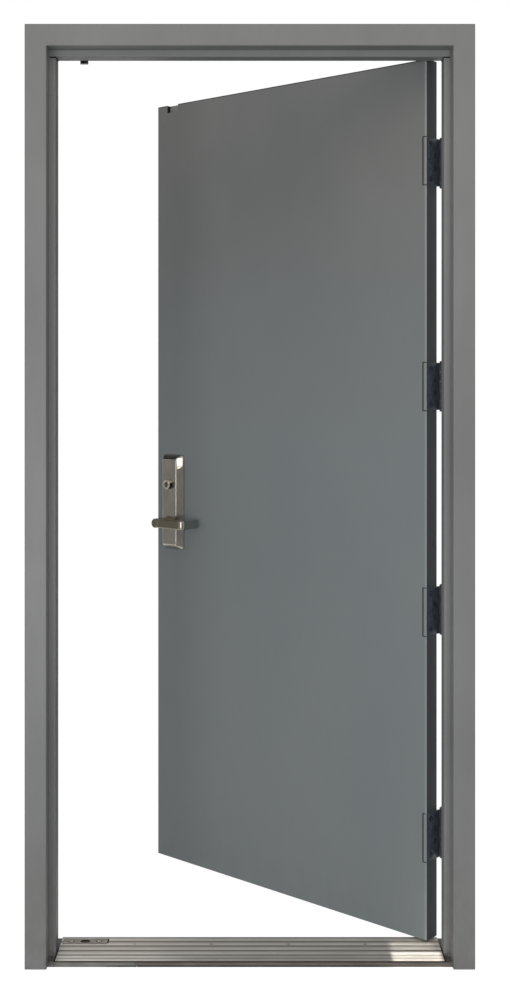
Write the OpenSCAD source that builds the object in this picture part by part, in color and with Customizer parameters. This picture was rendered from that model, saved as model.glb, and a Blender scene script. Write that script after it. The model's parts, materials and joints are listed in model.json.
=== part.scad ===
// Storm shelter door: a hollow metal door, hung on four hinges in a welded steel frame,
// with a fluted threshold and a three-point latch. It stands open at open_angle.
// Origin: middle of the opening, on the floor, at mid-depth of the frame.
// +X goes to the hinges, -Y to the push side, +Z up. Door pieces are drawn shut, then swung.

/* [Opening] */
// Width between the rabbet faces of the two jambs
open_w = 939.8; // [760:0.1:1220]
// Height from the floor to the rabbet face of the head
open_h = 2133.6; // [1980:0.1:2440]

/* [Frame] */
// Depth of the frame through the wall
jamb_d = 146.05; // [130:0.05:220]
// Width of each face
face_w = 50.8; // [40:0.1:102]
// How far the stop stands into the opening
stop_h = 15; // [10:0.1:19]
// Depth of the empty rabbet on the push side
push_rabbet = 49.2; // [30:0.05:55]
// Thickness of the frame's sheet steel
frame_t = 1.9; // [1.5:0.1:2.7]
// Length of the returns beside the wall
return_w = 12.7; // [8:0.1:20]
// Bend radius at the middle of the frame's sheet
frame_bend = 2.2; // [1.8:0.1:3]

/* [Door] */
// Thickness of the door leaf
door_t = 44.45; // [42:0.05:54]
// Thickness of the door's two skins
skin_t = 1.9; // [1.2:0.1:2.7]
// Bend radius at the middle of a skin
skin_bend = 2.6; // [1.8:0.1:4]
// Gap at the hinge edge, at the head and at the stop
edge_gap = 5; // [5:0.1:8]
// Gap at the lock edge
lock_gap = 5.5; // [5.5:0.1:8]
// How much the lock edge is bevelled across the thickness
lock_bevel = 2.8; // [2.5:0.1:4]
// Height of the door's lower edge above the floor
undercut = 19.05; // [18:0.05:30]
// How far the door stands open
open_angle = 42.5; // [5:0.1:85]
// Height of the top and bottom channels
channel_h = 25; // [18:0.5:40]
// How far the bottom channel's web lies above the door's lower edge
web_up = 16; // [8:0.5:20]
// Thickness of the hinge edge channel
hinge_channel_t = 4.8; // [4:0.1:6]
// Thickness of the lock edge channel
lock_channel_t = 3; // [2:0.1:4]
// Width of the flanges of both edge channels
flange_w = 25; // [20:0.5:30]
// Seam between the two skins, halfway across the edges
seam = 0.5; // [0.2:0.1:1.5]

/* [Hinges] */
// Height of a hinge
hinge_h = 114.3; // [100:0.1:130]
// Width of a leaf, from the pin's axis
leaf_w = 57.15; // [50:0.05:60]
// Thickness of a leaf
leaf_t = 4.6; // [3.4:0.1:4.8]
// Radius of the knuckles
knuckle_r = 8; // [7.5:0.1:9]
// Radius of the pin
pin_r = 3.95; // [3:0.05:4.5]
// Distance of the pin's axis beyond the pull face
pin_out = 19.05; // [16:0.05:24]
// Middle of the top hinge below the head's rabbet
hinge_top = 247.65; // [200:0.05:300]
// Middle of the bottom hinge above the floor
hinge_bottom = 263.5; // [220:0.1:320]
// Gap between neighbouring knuckles
knuckle_gap = 0.3; // [0.2:0.05:0.8]
// Radial clearance of the pin
pin_fit = 0.05; // [0.02:0.01:0.1]
// Height of the button at each end of a pin
pin_button = 4; // [2:0.5:6]
// Width of the filler beside a leaf on the push face
filler_w = 10; // [8:0.5:14]
// Open line round a filler
filler_line = 2; // [0.3:0.1:3]
// Thickness of the plate welded behind a frame leaf
hinge_plate_t = 7.6; // [6:0.1:10]
// How far that plate reaches above and below a leaf
hinge_plate_over = 25; // [15:1:40]
// Gap between that plate and the stop
hinge_plate_gap = 3; // [1:0.5:6]

/* [Threshold] */
// Height of the sill bar under the threshold
sill_h = 10.8; // [8:0.1:11]
// Thickness of the fluted plate
plate_t = 3.2; // [2.6:0.1:3.2]
// Setback of the threshold behind the frame's push face
sill_set = 14.1; // [8:0.1:20]
// Width of the narrow fluted bands at the front
narrow_band = 17; // [12:0.1:22]
// Width of the wide fluted bands
wide_band = 26.7; // [20:0.1:30]
// Gap between the plate's ends and the stops
plate_gap = 3; // [2:0.1:12]
// Pitch of the fine flutes
flute_pitch = 4.45; // [3.5:0.05:6]
// Width of a fine flute
flute_w = 1.85; // [1:0.05:2.5]
// Depth of a fine flute
flute_d = 0.8; // [0.4:0.1:1.2]
// Width of the grooves between bands
groove_w = 3.5; // [2.5:0.1:5]
// Depth of the grooves between bands
groove_d = 1.6; // [1:0.1:2]
// Distance between the threshold's four screws
screw_pitch = 183.3; // [140:0.1:200]
// Setback of the screws behind the frame's push face
screw_set = 112.8; // [100:0.1:125]
// Radius of the screw holes
screw_r = 3.2; // [2.5:0.1:4]
// Distance of the sill bar's joint from the middle, on the lock side
sill_joint = 262; // [200:1:265]

/* [Strikes] */
// Length of the bottom strike
foot_strike_l = 106; // [90:1:110]
// Width of the bottom strike
foot_strike_w = 32; // [28:0.5:36]
// Width of the oval hole for the bottom bolt
foot_hole_l = 23; // [20:0.5:28]
// Depth of the oval hole for the bottom bolt
foot_hole_w = 18; // [17:0.5:20]
// Distance of the bottom bolt's axis in front of the pull face
bolt_in = 17; // [14:0.5:24]
// Radius of the bottom bolt
bolt_r = 7; // [5:0.5:8]
// Length of the bottom bolt
bolt_l = 90; // [60:1:140]
// Width of the top strike's lug
lug_w = 18.6; // [14:0.1:24]
// Thickness of the lug
lug_t = 5; // [3:0.1:5.5]
// Height of the lug below the head's rabbet
lug_h = 20.4; // [14:0.1:24]
// Setback of the lug behind the push face of the shut door
lug_set = 2.6; // [1.5:0.1:3]
// Clearance of the lug in the latch pocket
lug_clear = 5.3; // [5.1:0.1:7]
// Reach of the latch pocket towards the lock edge
pocket_reach = 29.5; // [22:0.5:34]
// Length of the strike in the strike jamb
strike_l = 123.8; // [100:0.1:130]
// Width of that strike
strike_w = 31.75; // [28:0.05:34]
// Thickness of the plates welded behind the strikes
strike_back_t = 3; // [2:0.1:4]
// How far those plates reach past a strike's ends
strike_back_end = 8; // [4:0.5:14]
// How far those plates reach past a strike's sides
strike_back_side = 3; // [1:0.5:5]
// Room above and below the latch bolt in its strike
latch_room_h = 8; // [4:0.5:12]
// Room beside the latch bolt in its strike
latch_room_w = 5; // [2:0.5:7]
// Length of the top latch's body below its pocket
top_latch_l = 68; // [50:1:120]
// Thickness of that body's walls beside the pocket
top_latch_wall = 5; // [3:0.5:8]

/* [Lock trim] */
// Distance of the lock's line from the lock edge
backset = 69.85; // [60:0.05:76]
// Width of an escutcheon
trim_w = 79; // [60:0.5:90]
// Height of an escutcheon
trim_h = 264; // [220:1:300]
// Depth of an escutcheon
trim_d = 21; // [14:0.5:28]
// Width of the slope round its front face
trim_slope = 13.5; // [6:0.5:18]
// Height of the upright lip under the slope
trim_lip = 4; // [2:0.5:6]
// Corner radius of its outline
trim_corner = 9; // [4:0.5:14]
// Radius of the edges of its front face
trim_edge = 2.5; // [1:0.1:4]
// Height of its middle above the floor
trim_z = 1017.5; // [950:0.5:1060]
// Height of the key cylinder above the middle
cylinder_up = 49.5; // [35:0.5:80]
// Radius of the key cylinder
cylinder_r = 13.4; // [11:0.1:16]
// How far the cylinder stands out of the trim
cylinder_out = 12; // [3:0.5:24]
// Height of the lever's axis below the middle
lever_down = 55; // [40:0.5:80]
// Length of the lever from its axis to the outer side of its return
lever_l = 106.5; // [90:0.5:125]
// How far the lever's front stands off the door
lever_out = 78; // [60:0.5:90]
// Height of the arm
arm_h = 23; // [16:0.5:26]
// Thickness of the arm
arm_t = 12.5; // [10:0.5:18]
// Radius of the arm's long edges
arm_edge = 3; // [1:0.5:4.5]
// Inner radius of the bend between the arm and its return
arm_bend = 2.5; // [1:0.5:10]
// Gap between the return's end and the door
return_gap = 12.7; // [8:0.1:20]
// Radius of the lever's neck
neck_r = 13; // [9:0.5:14]
// Radius of the collar at the neck's foot
collar_r = 16.5; // [14.5:0.5:20]
// Thickness of the collar
collar_t = 4; // [2:0.5:6]
// Running clearance of the neck and collar
neck_fit = 0.4; // [0.3:0.05:0.8]
// Side of the square spindle
spindle_w = 8; // [7:0.1:9]
// Depth of the lock case from the edge
case_l = 102; // [88:1:120]
// Height of the lock case
case_h = 190; // [160:1:210]
// Thickness of the lock case
case_t = 24; // [18:0.5:26]
// Height of the lock front
front_h = 203; // [180:1:230]
// Width of the lock front
front_w = 25.4; // [20:0.1:30]
// Thickness of the lock front
front_t = 2.4; // [1.5:0.1:3]
// Height of the latch bolt
latch_h = 19; // [14:0.5:24]
// Width of the latch bolt
latch_w = 13; // [10:0.5:16]
// How far the latch bolt reaches into the case
latch_in = 20; // [14:0.5:30]
// Length of the thumbturn's grip
thumb_l = 38; // [28:0.5:46]
// Thickness of the thumbturn's grip
thumb_t = 8; // [5:0.5:10]
// How far the thumbturn stands out of the trim
thumb_out = 25; // [18:0.5:32]

/* [Anchors] */
// Height of the lowest jamb anchor
anchor_low = 315; // [290:1:400]
// Middle of the highest jamb anchor below the head's rabbet
anchor_top = 336.6; // [290:0.1:460]
// Width of an anchor strap
anchor_w = 38; // [25:1:50]
// Thickness of an anchor strap
anchor_t = 3; // [2:0.1:4]
// Setback of an anchor's crossbar behind the rabbet face
anchor_set = 14; // [12:0.5:24]
// How much narrower an anchor's tongue is at each side than its crossbar
tongue_step = 6; // [2:0.5:8]
// How far an anchor's tongue stands out beside the frame
tongue_out = 4; // [1:0.5:12]
// Thickness of a floor clip
clip_t = 3; // [2:0.1:5]
// Height of a floor clip
clip_h = 50; // [40:1:80]
// Distance between a floor clip's two holes
clip_pitch = 70; // [50:1:80]
// Radius of the floor clips' holes
clip_hole_r = 5.5; // [4:0.5:7]

/* [Hidden] */
$fn = 64;
// Overrun of a cutting solid
over = 1;
// Radial clearance of pieces that sit still in a hole
snug = 0.1;

// Frame
half_w = open_w / 2;
half_d = jamb_d / 2;
door_rabbet = door_t + edge_gap;
stop_push_y = -half_d + push_rabbet;
stop_pull_y = half_d - door_rabbet;
inner_d = half_d - frame_t;
frame_fillet = frame_bend - frame_t / 2;

// Door, shut
hinge_x = half_w - edge_gap;
lock_x = -half_w + lock_gap;
pull_y = half_d;
push_y = half_d - door_t;
mid_y = (push_y + pull_y) / 2;
low_z = undercut;
top_z = open_h - edge_gap;
trim_x = lock_x + backset;
pin_x = half_w - edge_gap / 2;
pin_y = pull_y + pin_out;
inner_push_y = push_y + skin_t;
inner_pull_y = pull_y - skin_t;
inner_hinge_x = hinge_x - skin_t;
channel_low_z = low_z + channel_h;
channel_top_z = top_z - channel_h;
bevel_slant = norm([door_t, lock_bevel]) / door_t;

// Hinges
hinge_count = 4;
knuckles = 5;
knuckle_h = hinge_h / knuckles;
hinge_z = [for (i = [0 : hinge_count - 1])
    (open_h - hinge_top) - i * (open_h - hinge_top - hinge_bottom) / (hinge_count - 1)];
leaf_y = pin_y - leaf_w;
knuckle_clear = 1;
button_step = 0.5;

// Threshold
narrow_bands = 2;
wide_bands = 4;
sill_y = -half_d + sill_set;
sill_d = narrow_bands * narrow_band + wide_bands * wide_band;
plate_half = half_w - stop_h - plate_gap;
screw_y = -half_d + screw_set;
bolt_y = pull_y - bolt_in;

// Latch pocket in the top of the door
pocket_x0 = trim_x - pocket_reach;
pocket_x1 = trim_x + lug_w / 2 + lug_clear;
pocket_y = push_y + lug_set + lug_t + lug_clear;
pocket_z = open_h - lug_h - lug_clear;
latch_x1 = pocket_x1 + top_latch_wall;
latch_z0 = pocket_z - top_latch_l;
latch_room_x0 = lock_x + skin_t + lock_channel_t + flange_w;

// Lock
lever_z = trim_z - lever_down;
cylinder_z = trim_z + cylinder_up;
case_x0 = lock_x + front_t + lock_bevel;
case_x1 = lock_x + case_l;
latch_back_x = case_x0 + latch_in;
hub_r = spindle_w / sqrt(2) + 2;
// How far the spindle's ends stay behind the levers' fronts
spindle_in = 14;

// Anchors
anchor_count = 4;
anchor_z = [for (i = [0 : anchor_count - 1])
    anchor_low + i * (open_h - anchor_top - anchor_low) / (anchor_count - 1)];

// Lock edge at depth y: the bevel runs from the pull face to the push face
function lock_edge(y) = lock_x + lock_bevel * (pull_y - y) / door_t;

function unit(v) = v / norm(v);
function left(v) = [-v.y, v.x];
function turn(v, a) = [v.x * cos(a) - v.y * sin(a), v.x * sin(a) + v.y * cos(a)];
function reversed(p) = [for (i = [len(p) - 1 : -1 : 0]) p[i]];

// Arc that rounds the corner b of the path a, b, c with radius r, moved sideways by off to the left
function corner(a, b, c, r, off = 0, steps = 5) =
    let (d1 = unit(b - a), d2 = unit(c - b),
         phi = atan2(d1.x * d2.y - d1.y * d2.x, d1 * d2), s = sign(phi),
         centre = b - d1 * r * tan(abs(phi) / 2) + left(d1) * s * r)
    [for (k = [0 : steps]) centre - turn(left(d1), phi * k / steps) * s * (r - s * off)];

// One side of a bent strip, off to the left of its middle line p
function strip_side(p, r, off) =
    let (n = len(p) - 1)
    concat([p[0] + left(unit(p[1] - p[0])) * off],
        [for (i = [1 : n - 1]) each corner(p[i - 1], p[i], p[i + 1], r, off)],
        [p[n] + left(unit(p[n] - p[n - 1])) * off]);

// Outline of a strip of thickness t bent along its middle line p with bend radius r
function strip(p, r, t) = concat(strip_side(p, r, t / 2), reversed(strip_side(p, r, -t / 2)));

// Closed outline p with each corner rounded by its radius in r
function rounded(p, r) =
    let (n = len(p))
    [for (i = [0 : n - 1]) each (r[i] == 0 ? [p[i]]
        : corner(p[(i + n - 1) % n], p[i], p[(i + 1) % n], r[i]))];

// Box between two corners
module box(a, b) {
    translate(a) cube(b - a);
}

// Swings what is drawn shut to where the door stands
module on_door() {
    translate([pin_x, pin_y, 0])
        rotate([0, 0, -open_angle])
            translate([-pin_x, -pin_y, 0])
                children();
}

// Stands children on the push face at height z, their +Z out of the door and their +Y up
module on_push_face(z) {
    translate([trim_x, push_y, z]) rotate([90, 0, 0]) children();
}

// Mirrors what is drawn on the push side of the door to its pull side
module on_pull_side() {
    translate([0, 2 * mid_y, 0]) mirror([0, 1, 0]) children();
}

// Extrudes an outline in X and Z along Y
module along_y(y0, y1) {
    translate([0, y1, 0]) rotate([90, 0, 0]) linear_extrude(y1 - y0) children();
}

// Frame section: x is the distance beyond the rabbet face, y the depth
function frame_section() =
    let (h = frame_t / 2)
    strip([[face_w - h, -half_d + return_w], [face_w - h, -half_d + h], [h, -half_d + h],
        [h, stop_push_y + h], [h - stop_h, stop_push_y + h], [h - stop_h, stop_pull_y - h],
        [h, stop_pull_y - h], [h, half_d - h], [face_w - h, half_d - h],
        [face_w - h, half_d - return_w]], frame_bend, frame_t);

// Jamb on the +X side, cut off at the head's mitre
module jamb() {
    x0 = half_w - stop_h - over;
    x1 = half_w + face_w;
    intersection() {
        translate([half_w, 0, 0]) linear_extrude(open_h + face_w) polygon(frame_section());
        along_y(-half_d - over, half_d + over)
            polygon([[x0, 0], [x1 + over, 0], [x1 + over, open_h + face_w + over],
                [x0, open_h - stop_h - over]]);
    }
}

module hinge_jamb() {
    color("#86888a") difference() {
        jamb();
        for (z = hinge_z)
            box([half_w - over, leaf_y, z - hinge_h / 2], [half_w + leaf_t, half_d + over, z + hinge_h / 2]);
    }
}

module strike_jamb() {
    color("#86888a") difference() {
        mirror([1, 0, 0]) jamb();
        box([-half_w - frame_t - over, mid_y - strike_w / 2, trim_z - strike_l / 2],
            [-half_w + over, mid_y + strike_w / 2, trim_z + strike_l / 2]);
    }
}

module head() {
    mitre = stop_h + over;
    color("#86888a") difference() {
        intersection() {
            translate([0, 0, open_h]) rotate([0, -90, 0])
                linear_extrude(open_w + 2 * face_w, center = true) polygon(frame_section());
            along_y(-half_d - over, half_d + over)
                polygon([[-half_w + mitre, open_h - mitre], [half_w - mitre, open_h - mitre],
                    [half_w + face_w + over, open_h + face_w + over],
                    [-half_w - face_w - over, open_h + face_w + over]]);
        }
        top_strike_plate(open_h - over, frame_t + 2 * over);
    }
}

// Flat part of the top strike, let into the head from height z
module top_strike_plate(z, t) {
    y0 = push_y + lug_set;
    box([trim_x - foot_strike_w, y0, z], [trim_x + foot_strike_w, y0 + strike_w, z + t]);
}

module top_strike() {
    y0 = push_y + lug_set;
    reach = foot_strike_w + strike_back_end;
    color("#8f8d88") union() {
        top_strike_plate(open_h, frame_t + strike_back_t);
        box([trim_x - reach, y0 - strike_back_side, open_h + frame_t],
            [trim_x + reach, y0 + strike_w + strike_back_side, open_h + frame_t + strike_back_t]);
        box([trim_x - lug_w / 2, y0, open_h - lug_h], [trim_x + lug_w / 2, y0 + lug_t, open_h + frame_t]);
    }
}

module lock_strike() {
    wall_x = -half_w - frame_t;
    w = strike_w / 2;
    l = strike_l / 2;
    back_w = w + strike_back_side;
    back_l = l + strike_back_end;
    room_w = latch_w / 2 + latch_room_w;
    room_h = latch_h / 2 + latch_room_h;
    color("#8f8d88") difference() {
        union() {
            box([wall_x, mid_y - w, trim_z - l], [-half_w, mid_y + w, trim_z + l]);
            box([wall_x - strike_back_t, mid_y - back_w, trim_z - back_l],
                [wall_x, mid_y + back_w, trim_z + back_l]);
        }
        box([wall_x - strike_back_t - over, mid_y - room_w, trim_z - room_h],
            [-half_w + over, mid_y + room_w, trim_z + room_h]);
    }
}

// Holes for the threshold's screws and the bottom bolt
module floor_holes() {
    for (k = [-1.5 : 1 : 1.5])
        translate([k * screw_pitch, screw_y, -over]) cylinder(r = screw_r, h = sill_h + plate_t + 2 * over);
    translate([trim_x, bolt_y, -over]) oval(foot_hole_l, foot_hole_w, sill_h + plate_t + 2 * over);
}

// Upright prism with round ends along X
module oval(l, w, h) {
    reach = (l - w) / 2;
    union() {
        for (s = [-1, 1]) translate([s * reach, 0, 0]) cylinder(d = w, h = h);
        box([-reach, -w / 2, 0], [reach, w / 2, h]);
    }
}

module sill() {
    line = 0.6;
    stop_w = stop_pull_y - stop_push_y + 2 * frame_fillet;
    color("#5f5b57") difference() {
        box([-half_w, sill_y, 0], [half_w, sill_y + sill_d, sill_h]);
        for (s = [-1, 1])
            translate([s * half_w, (stop_push_y + stop_pull_y) / 2, sill_h / 2])
                cube([2 * stop_h, stop_w, sill_h + 2 * over], center = true);
        box([-sill_joint - line, sill_y - over, -over], [-sill_joint, sill_y + sill_d + over, sill_h + over]);
        floor_holes();
    }
}

// Start of each band of the threshold, and the far edge of the last
band_y = concat([for (i = [0 : narrow_bands - 1]) sill_y + i * narrow_band],
    [for (i = [0 : wide_bands]) sill_y + narrow_bands * narrow_band + i * wide_band]);

module threshold() {
    z1 = sill_h + plate_t;
    strike_fit = 0.2;
    color("#9a958e") difference() {
        box([-plate_half, sill_y, sill_h], [plate_half, sill_y + sill_d, z1]);
        for (b = [0 : len(band_y) - 2]) {
            y0 = band_y[b] + groove_w / 2;
            run = band_y[b + 1] - band_y[b] - groove_w;
            flutes = floor(run / flute_pitch);
            if (b > 0) groove(band_y[b] - groove_w / 2, groove_w, groove_d);
            for (i = [1 : flutes - 1])
                groove(y0 + run * i / flutes - flute_w / 2, flute_w, flute_d);
        }
        translate([trim_x, bolt_y, z1 / 2])
            cube([foot_strike_l + 2 * strike_fit, foot_strike_w + 2 * strike_fit, z1 + 2 * over],
                center = true);
        floor_holes();
    }
}

// Groove of the threshold that starts at y
module groove(y, w, d) {
    z1 = sill_h + plate_t;
    box([-plate_half - over, y, z1 - d], [plate_half + over, y + w, z1 + over]);
}

module bottom_strike() {
    color("#8f8d88") difference() {
        translate([trim_x, bolt_y, sill_h + plate_t / 2])
            cube([foot_strike_l, foot_strike_w, plate_t], center = true);
        floor_holes();
    }
}

// Knuckles of one leaf of the hinge at height z: every second one, from the given first
module knuckle_row(z, first) {
    for (k = [first : 2 : knuckles - 1])
        translate([pin_x, pin_y, z - hinge_h / 2 + k * knuckle_h + knuckle_gap / 2])
            cylinder(r = knuckle_r, h = knuckle_h - knuckle_gap);
}

// Leaf on side s of the pin: 1 is the frame's, -1 the door's
module hinge_leaf(z, s, first) {
    x = pin_x + s * edge_gap / 2;
    difference() {
        union() {
            translate([min(x, x + s * leaf_t), leaf_y, z - hinge_h / 2])
                cube([leaf_t, leaf_w - knuckle_r - knuckle_clear, hinge_h]);
            for (k = [first : 2 : knuckles - 1])
                translate([min(x, x + s * leaf_t), pin_y - knuckle_r - knuckle_clear - over,
                        z - hinge_h / 2 + k * knuckle_h + knuckle_gap / 2])
                    cube([leaf_t, knuckle_r + knuckle_clear + over, knuckle_h - knuckle_gap]);
            knuckle_row(z, first);
        }
        translate([pin_x, pin_y, z - hinge_h]) cylinder(r = pin_r + pin_fit, h = 2 * hinge_h);
    }
}

module frame_leaf(i) {
    color("#34373a") hinge_leaf(hinge_z[i], 1, 0);
}

module door_leaf(i) {
    color("#34373a") on_door() hinge_leaf(hinge_z[i], -1, 1);
}

module hinge_pin(i) {
    color("#34373a") translate([pin_x, pin_y, hinge_z[i]]) union() {
        cylinder(r = pin_r, h = hinge_h, center = true);
        for (s = [-1, 1])
            translate([0, 0, s * (hinge_h + pin_button - knuckle_gap) / 2])
                cylinder(r = knuckle_r - button_step, h = pin_button, center = true);
    }
}

module hinge_plates() {
    x0 = half_w + frame_t;
    color("#6d6d6b") for (z = hinge_z) difference() {
        box([x0, stop_pull_y + hinge_plate_gap, z - hinge_h / 2 - hinge_plate_over],
            [x0 + hinge_plate_t, inner_d - frame_bend, z + hinge_h / 2 + hinge_plate_over]);
        box([x0 - over, leaf_y, z - hinge_h / 2], [half_w + leaf_t, half_d, z + hinge_h / 2]);
    }
}

// T anchors inside the jamb on the +X side
module jamb_anchors(out) {
    x0 = half_w + anchor_set;
    w = anchor_w / 2;
    tongue_w = w - tongue_step;
    for (z = anchor_z) union() {
        box([x0, -inner_d, z - w], [x0 + anchor_t, inner_d, z + w]);
        box([x0, -anchor_t / 2, z - tongue_w], [half_w + face_w + out, anchor_t / 2, z + tongue_w]);
    }
}

module hinge_jamb_anchors() {
    color("#6d6d6b") jamb_anchors(tongue_out);
}

module strike_jamb_anchors() {
    color("#6d6d6b") mirror([1, 0, 0]) jamb_anchors(0);
}

// Angle clips that bolt the jambs to the floor
module floor_clips() {
    clear = 2;
    x0 = half_w + frame_t;
    x1 = half_w + face_w - frame_t - clear;
    reach = half_d - return_w - clear;
    color("#6d6d6b") for (s = [0, 1]) mirror([s, 0, 0]) difference() {
        union() {
            box([x0, -reach, 0], [x1, reach, clip_t]);
            box([x0, -reach, 0], [x0 + clip_t, reach, clip_h]);
        }
        for (k = [-1, 1])
            translate([(x0 + x1) / 2, k * clip_pitch / 2, -over])
                cylinder(r = clip_hole_r, h = clip_t + 2 * over);
    }
}

// Pocket cut out of the door for a leaf, its filler and the line round the filler
module hinge_cuts(line) {
    for (z = hinge_z) {
        box([hinge_x - leaf_t, leaf_y, z - hinge_h / 2], [hinge_x + over, pull_y + over, z + hinge_h / 2]);
        box([hinge_x - filler_w - line, push_y - over, z - hinge_h / 2 - line],
            [hinge_x + over, leaf_y, z + hinge_h / 2 + line]);
    }
}

// Opening for the top strike's lug, through the push skin and the top of the door
module latch_pocket() {
    box([pocket_x0, push_y - over, pocket_z], [pocket_x1, pocket_y, top_z + over]);
}

// Prism along the bevelled lock edge, from y0 to y1, t deep and sticking out by out
module along_lock_edge(t, y0, y1, out = 0) {
    linear_extrude(front_h) polygon([[lock_edge(y0) - out, y0], [lock_edge(y0) - out + t, y0],
        [lock_edge(y1) - out + t, y1], [lock_edge(y1) - out, y1]]);
}

// Room for the lock front in the lock edge
module lock_front_room() {
    translate([0, 0, trim_z - front_h / 2])
        along_lock_edge(front_t + over, mid_y - front_w / 2, mid_y + front_w / 2, over);
}

// Holes through the push side of the door for the cylinder and the spindle
module trim_holes() {
    spare = 1;
    deep = door_t / 2;
    on_push_face(cylinder_z) translate([0, 0, -deep]) cylinder(r = cylinder_r + spare, h = deep + over);
    on_push_face(lever_z) translate([0, 0, -deep]) cylinder(r = neck_r - spare, h = deep + over);
}

// Half of the leaf's shell: side is 1 for the push skin and -1 for the pull skin
module skin(side) {
    h = skin_t / 2;
    face_y = side > 0 ? push_y + h : pull_y - h;
    end_y = mid_y - side * seam / 2;
    line = [[lock_edge(end_y) + h * bevel_slant, end_y], [lock_edge(face_y) + h * bevel_slant, face_y],
        [hinge_x - h, face_y], [hinge_x - h, end_y]];
    translate([0, 0, low_z]) linear_extrude(top_z - low_z) polygon(strip(line, skin_bend, skin_t));
}

module push_skin() {
    color("#6e7373") on_door() difference() {
        skin(1);
        hinge_cuts(filler_line);
        latch_pocket();
        lock_front_room();
        trim_holes();
    }
}

module pull_skin() {
    color("#6e7373") on_door() difference() {
        skin(-1);
        hinge_cuts(0);
        lock_front_room();
        on_pull_side() trim_holes();
    }
}

module core() {
    x0 = lock_x + skin_t + lock_channel_t + flange_w + lock_bevel;
    x1 = inner_hinge_x - hinge_channel_t - flange_w;
    color("#d9d2bf") on_door() difference() {
        box([x0, inner_push_y, channel_low_z], [x1, inner_pull_y, channel_top_z]);
        box([x0 - over, mid_y - case_t / 2 - snug, trim_z - case_h / 2 - snug],
            [case_x1 + snug, mid_y + case_t / 2 + snug, trim_z + case_h / 2 + snug]);
        box([x0 - over, inner_push_y - over, latch_z0], [latch_x1, inner_pull_y + over, top_z]);
        translate([trim_x, bolt_y, low_z]) cylinder(r = bolt_r + snug, h = bolt_l);
        trim_holes();
        on_pull_side() trim_holes();
    }
}

// Channel along the lock edge, inside the skins
module lock_edge_channel() {
    h = lock_channel_t / 2;
    y0 = inner_push_y + h;
    y1 = inner_pull_y - h;
    x0 = (skin_t + h) * bevel_slant + snug;
    x1 = lock_x + skin_t + lock_channel_t + flange_w;
    line = [[x1, y0], [lock_edge(y0) + x0, y0], [lock_edge(y1) + x0, y1], [x1, y1]];
    color("#6d6d6b") on_door() difference() {
        translate([0, 0, channel_low_z]) linear_extrude(channel_top_z - channel_low_z)
            polygon(strip(line, skin_bend, lock_channel_t));
        lock_front_room();
        box([lock_x, mid_y - case_t / 2, trim_z - case_h / 2],
            [case_x1, mid_y + case_t / 2, trim_z + case_h / 2]);
    }
}

// Channel along the hinge edge, inside the skins, thick enough to hold the leaves' screws
module hinge_edge_channel() {
    h = hinge_channel_t / 2;
    bend = h + 0.6;
    x0 = inner_hinge_x - hinge_channel_t - flange_w;
    x1 = inner_hinge_x - h;
    y0 = inner_push_y + h;
    y1 = inner_pull_y - h;
    color("#6d6d6b") on_door() difference() {
        translate([0, 0, channel_low_z]) linear_extrude(channel_top_z - channel_low_z)
            polygon(strip([[x0, y0], [x1, y0], [x1, y1], [x0, y1]], bend, hinge_channel_t));
        hinge_cuts(0);
    }
}

// Channel across the door between the skins, from z0 up, its web at web_z
module cross_channel(z0, web_z) {
    inner_bend = skin_bend - skin_t / 2;
    x0 = lock_edge(inner_push_y) + skin_t + inner_bend;
    x1 = inner_hinge_x - inner_bend;
    box([x0, inner_push_y, z0], [x1, inner_push_y + skin_t, z0 + channel_h]);
    box([x0, inner_pull_y - skin_t, z0], [x1, inner_pull_y, z0 + channel_h]);
    box([x0, inner_push_y, web_z], [x1, inner_pull_y, web_z + skin_t]);
}

// The channel is in two lengths, one on each side of the top latch
module top_channel() {
    color("#6e7373") on_door() difference() {
        union() cross_channel(channel_top_z, top_z - skin_t);
        box([latch_room_x0, push_y, channel_top_z - over], [latch_x1, pull_y, top_z + over]);
    }
}

module bottom_channel() {
    color("#6e7373") on_door() difference() {
        union() cross_channel(low_z, low_z + web_up);
        translate([trim_x, bolt_y, low_z - over]) cylinder(r = bolt_r + snug, h = channel_h + 2 * over);
    }
}

module hinge_fillers() {
    color("#7b8080") on_door() for (z = hinge_z)
        box([hinge_x - filler_w, push_y, z - hinge_h / 2], [hinge_x, leaf_y, z + hinge_h / 2]);
}

module lock_case() {
    color("#8a8a86") on_door() difference() {
        box([case_x0, mid_y - case_t / 2, trim_z - case_h / 2],
            [case_x1, mid_y + case_t / 2, trim_z + case_h / 2]);
        translate([trim_x, mid_y, lever_z]) rotate([90, 0, 0])
            cylinder(r = hub_r, h = case_t + 2 * over, center = true);
        box([case_x0 - over, mid_y - latch_w / 2, trim_z - latch_h / 2],
            [latch_back_x, mid_y + latch_w / 2, trim_z + latch_h / 2]);
    }
}

module lock_front() {
    color("#98948c") on_door() difference() {
        translate([0, 0, trim_z - front_h / 2])
            along_lock_edge(front_t, mid_y - front_w / 2, mid_y + front_w / 2);
        box([lock_x - over, mid_y - latch_w / 2 - snug, trim_z - latch_h / 2 - snug],
            [case_x0 + over, mid_y + latch_w / 2 + snug, trim_z + latch_h / 2 + snug]);
    }
}

module latch_bolt() {
    color("#a5a199") on_door()
        box([lock_edge(mid_y), mid_y - latch_w / 2, trim_z - latch_h / 2],
            [latch_back_x, mid_y + latch_w / 2, trim_z + latch_h / 2]);
}

// Case that fills the gap in the top channel, its top flush with the channel's
module top_latch() {
    color("#8d8d89") on_door() difference() {
        box([latch_room_x0, inner_push_y, latch_z0], [latch_x1, inner_pull_y, top_z]);
        latch_pocket();
    }
}

module bottom_bolt() {
    up = 1;
    color("#8d8d89") on_door() translate([trim_x, bolt_y, low_z + up]) cylinder(r = bolt_r, h = bolt_l - up);
}

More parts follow.
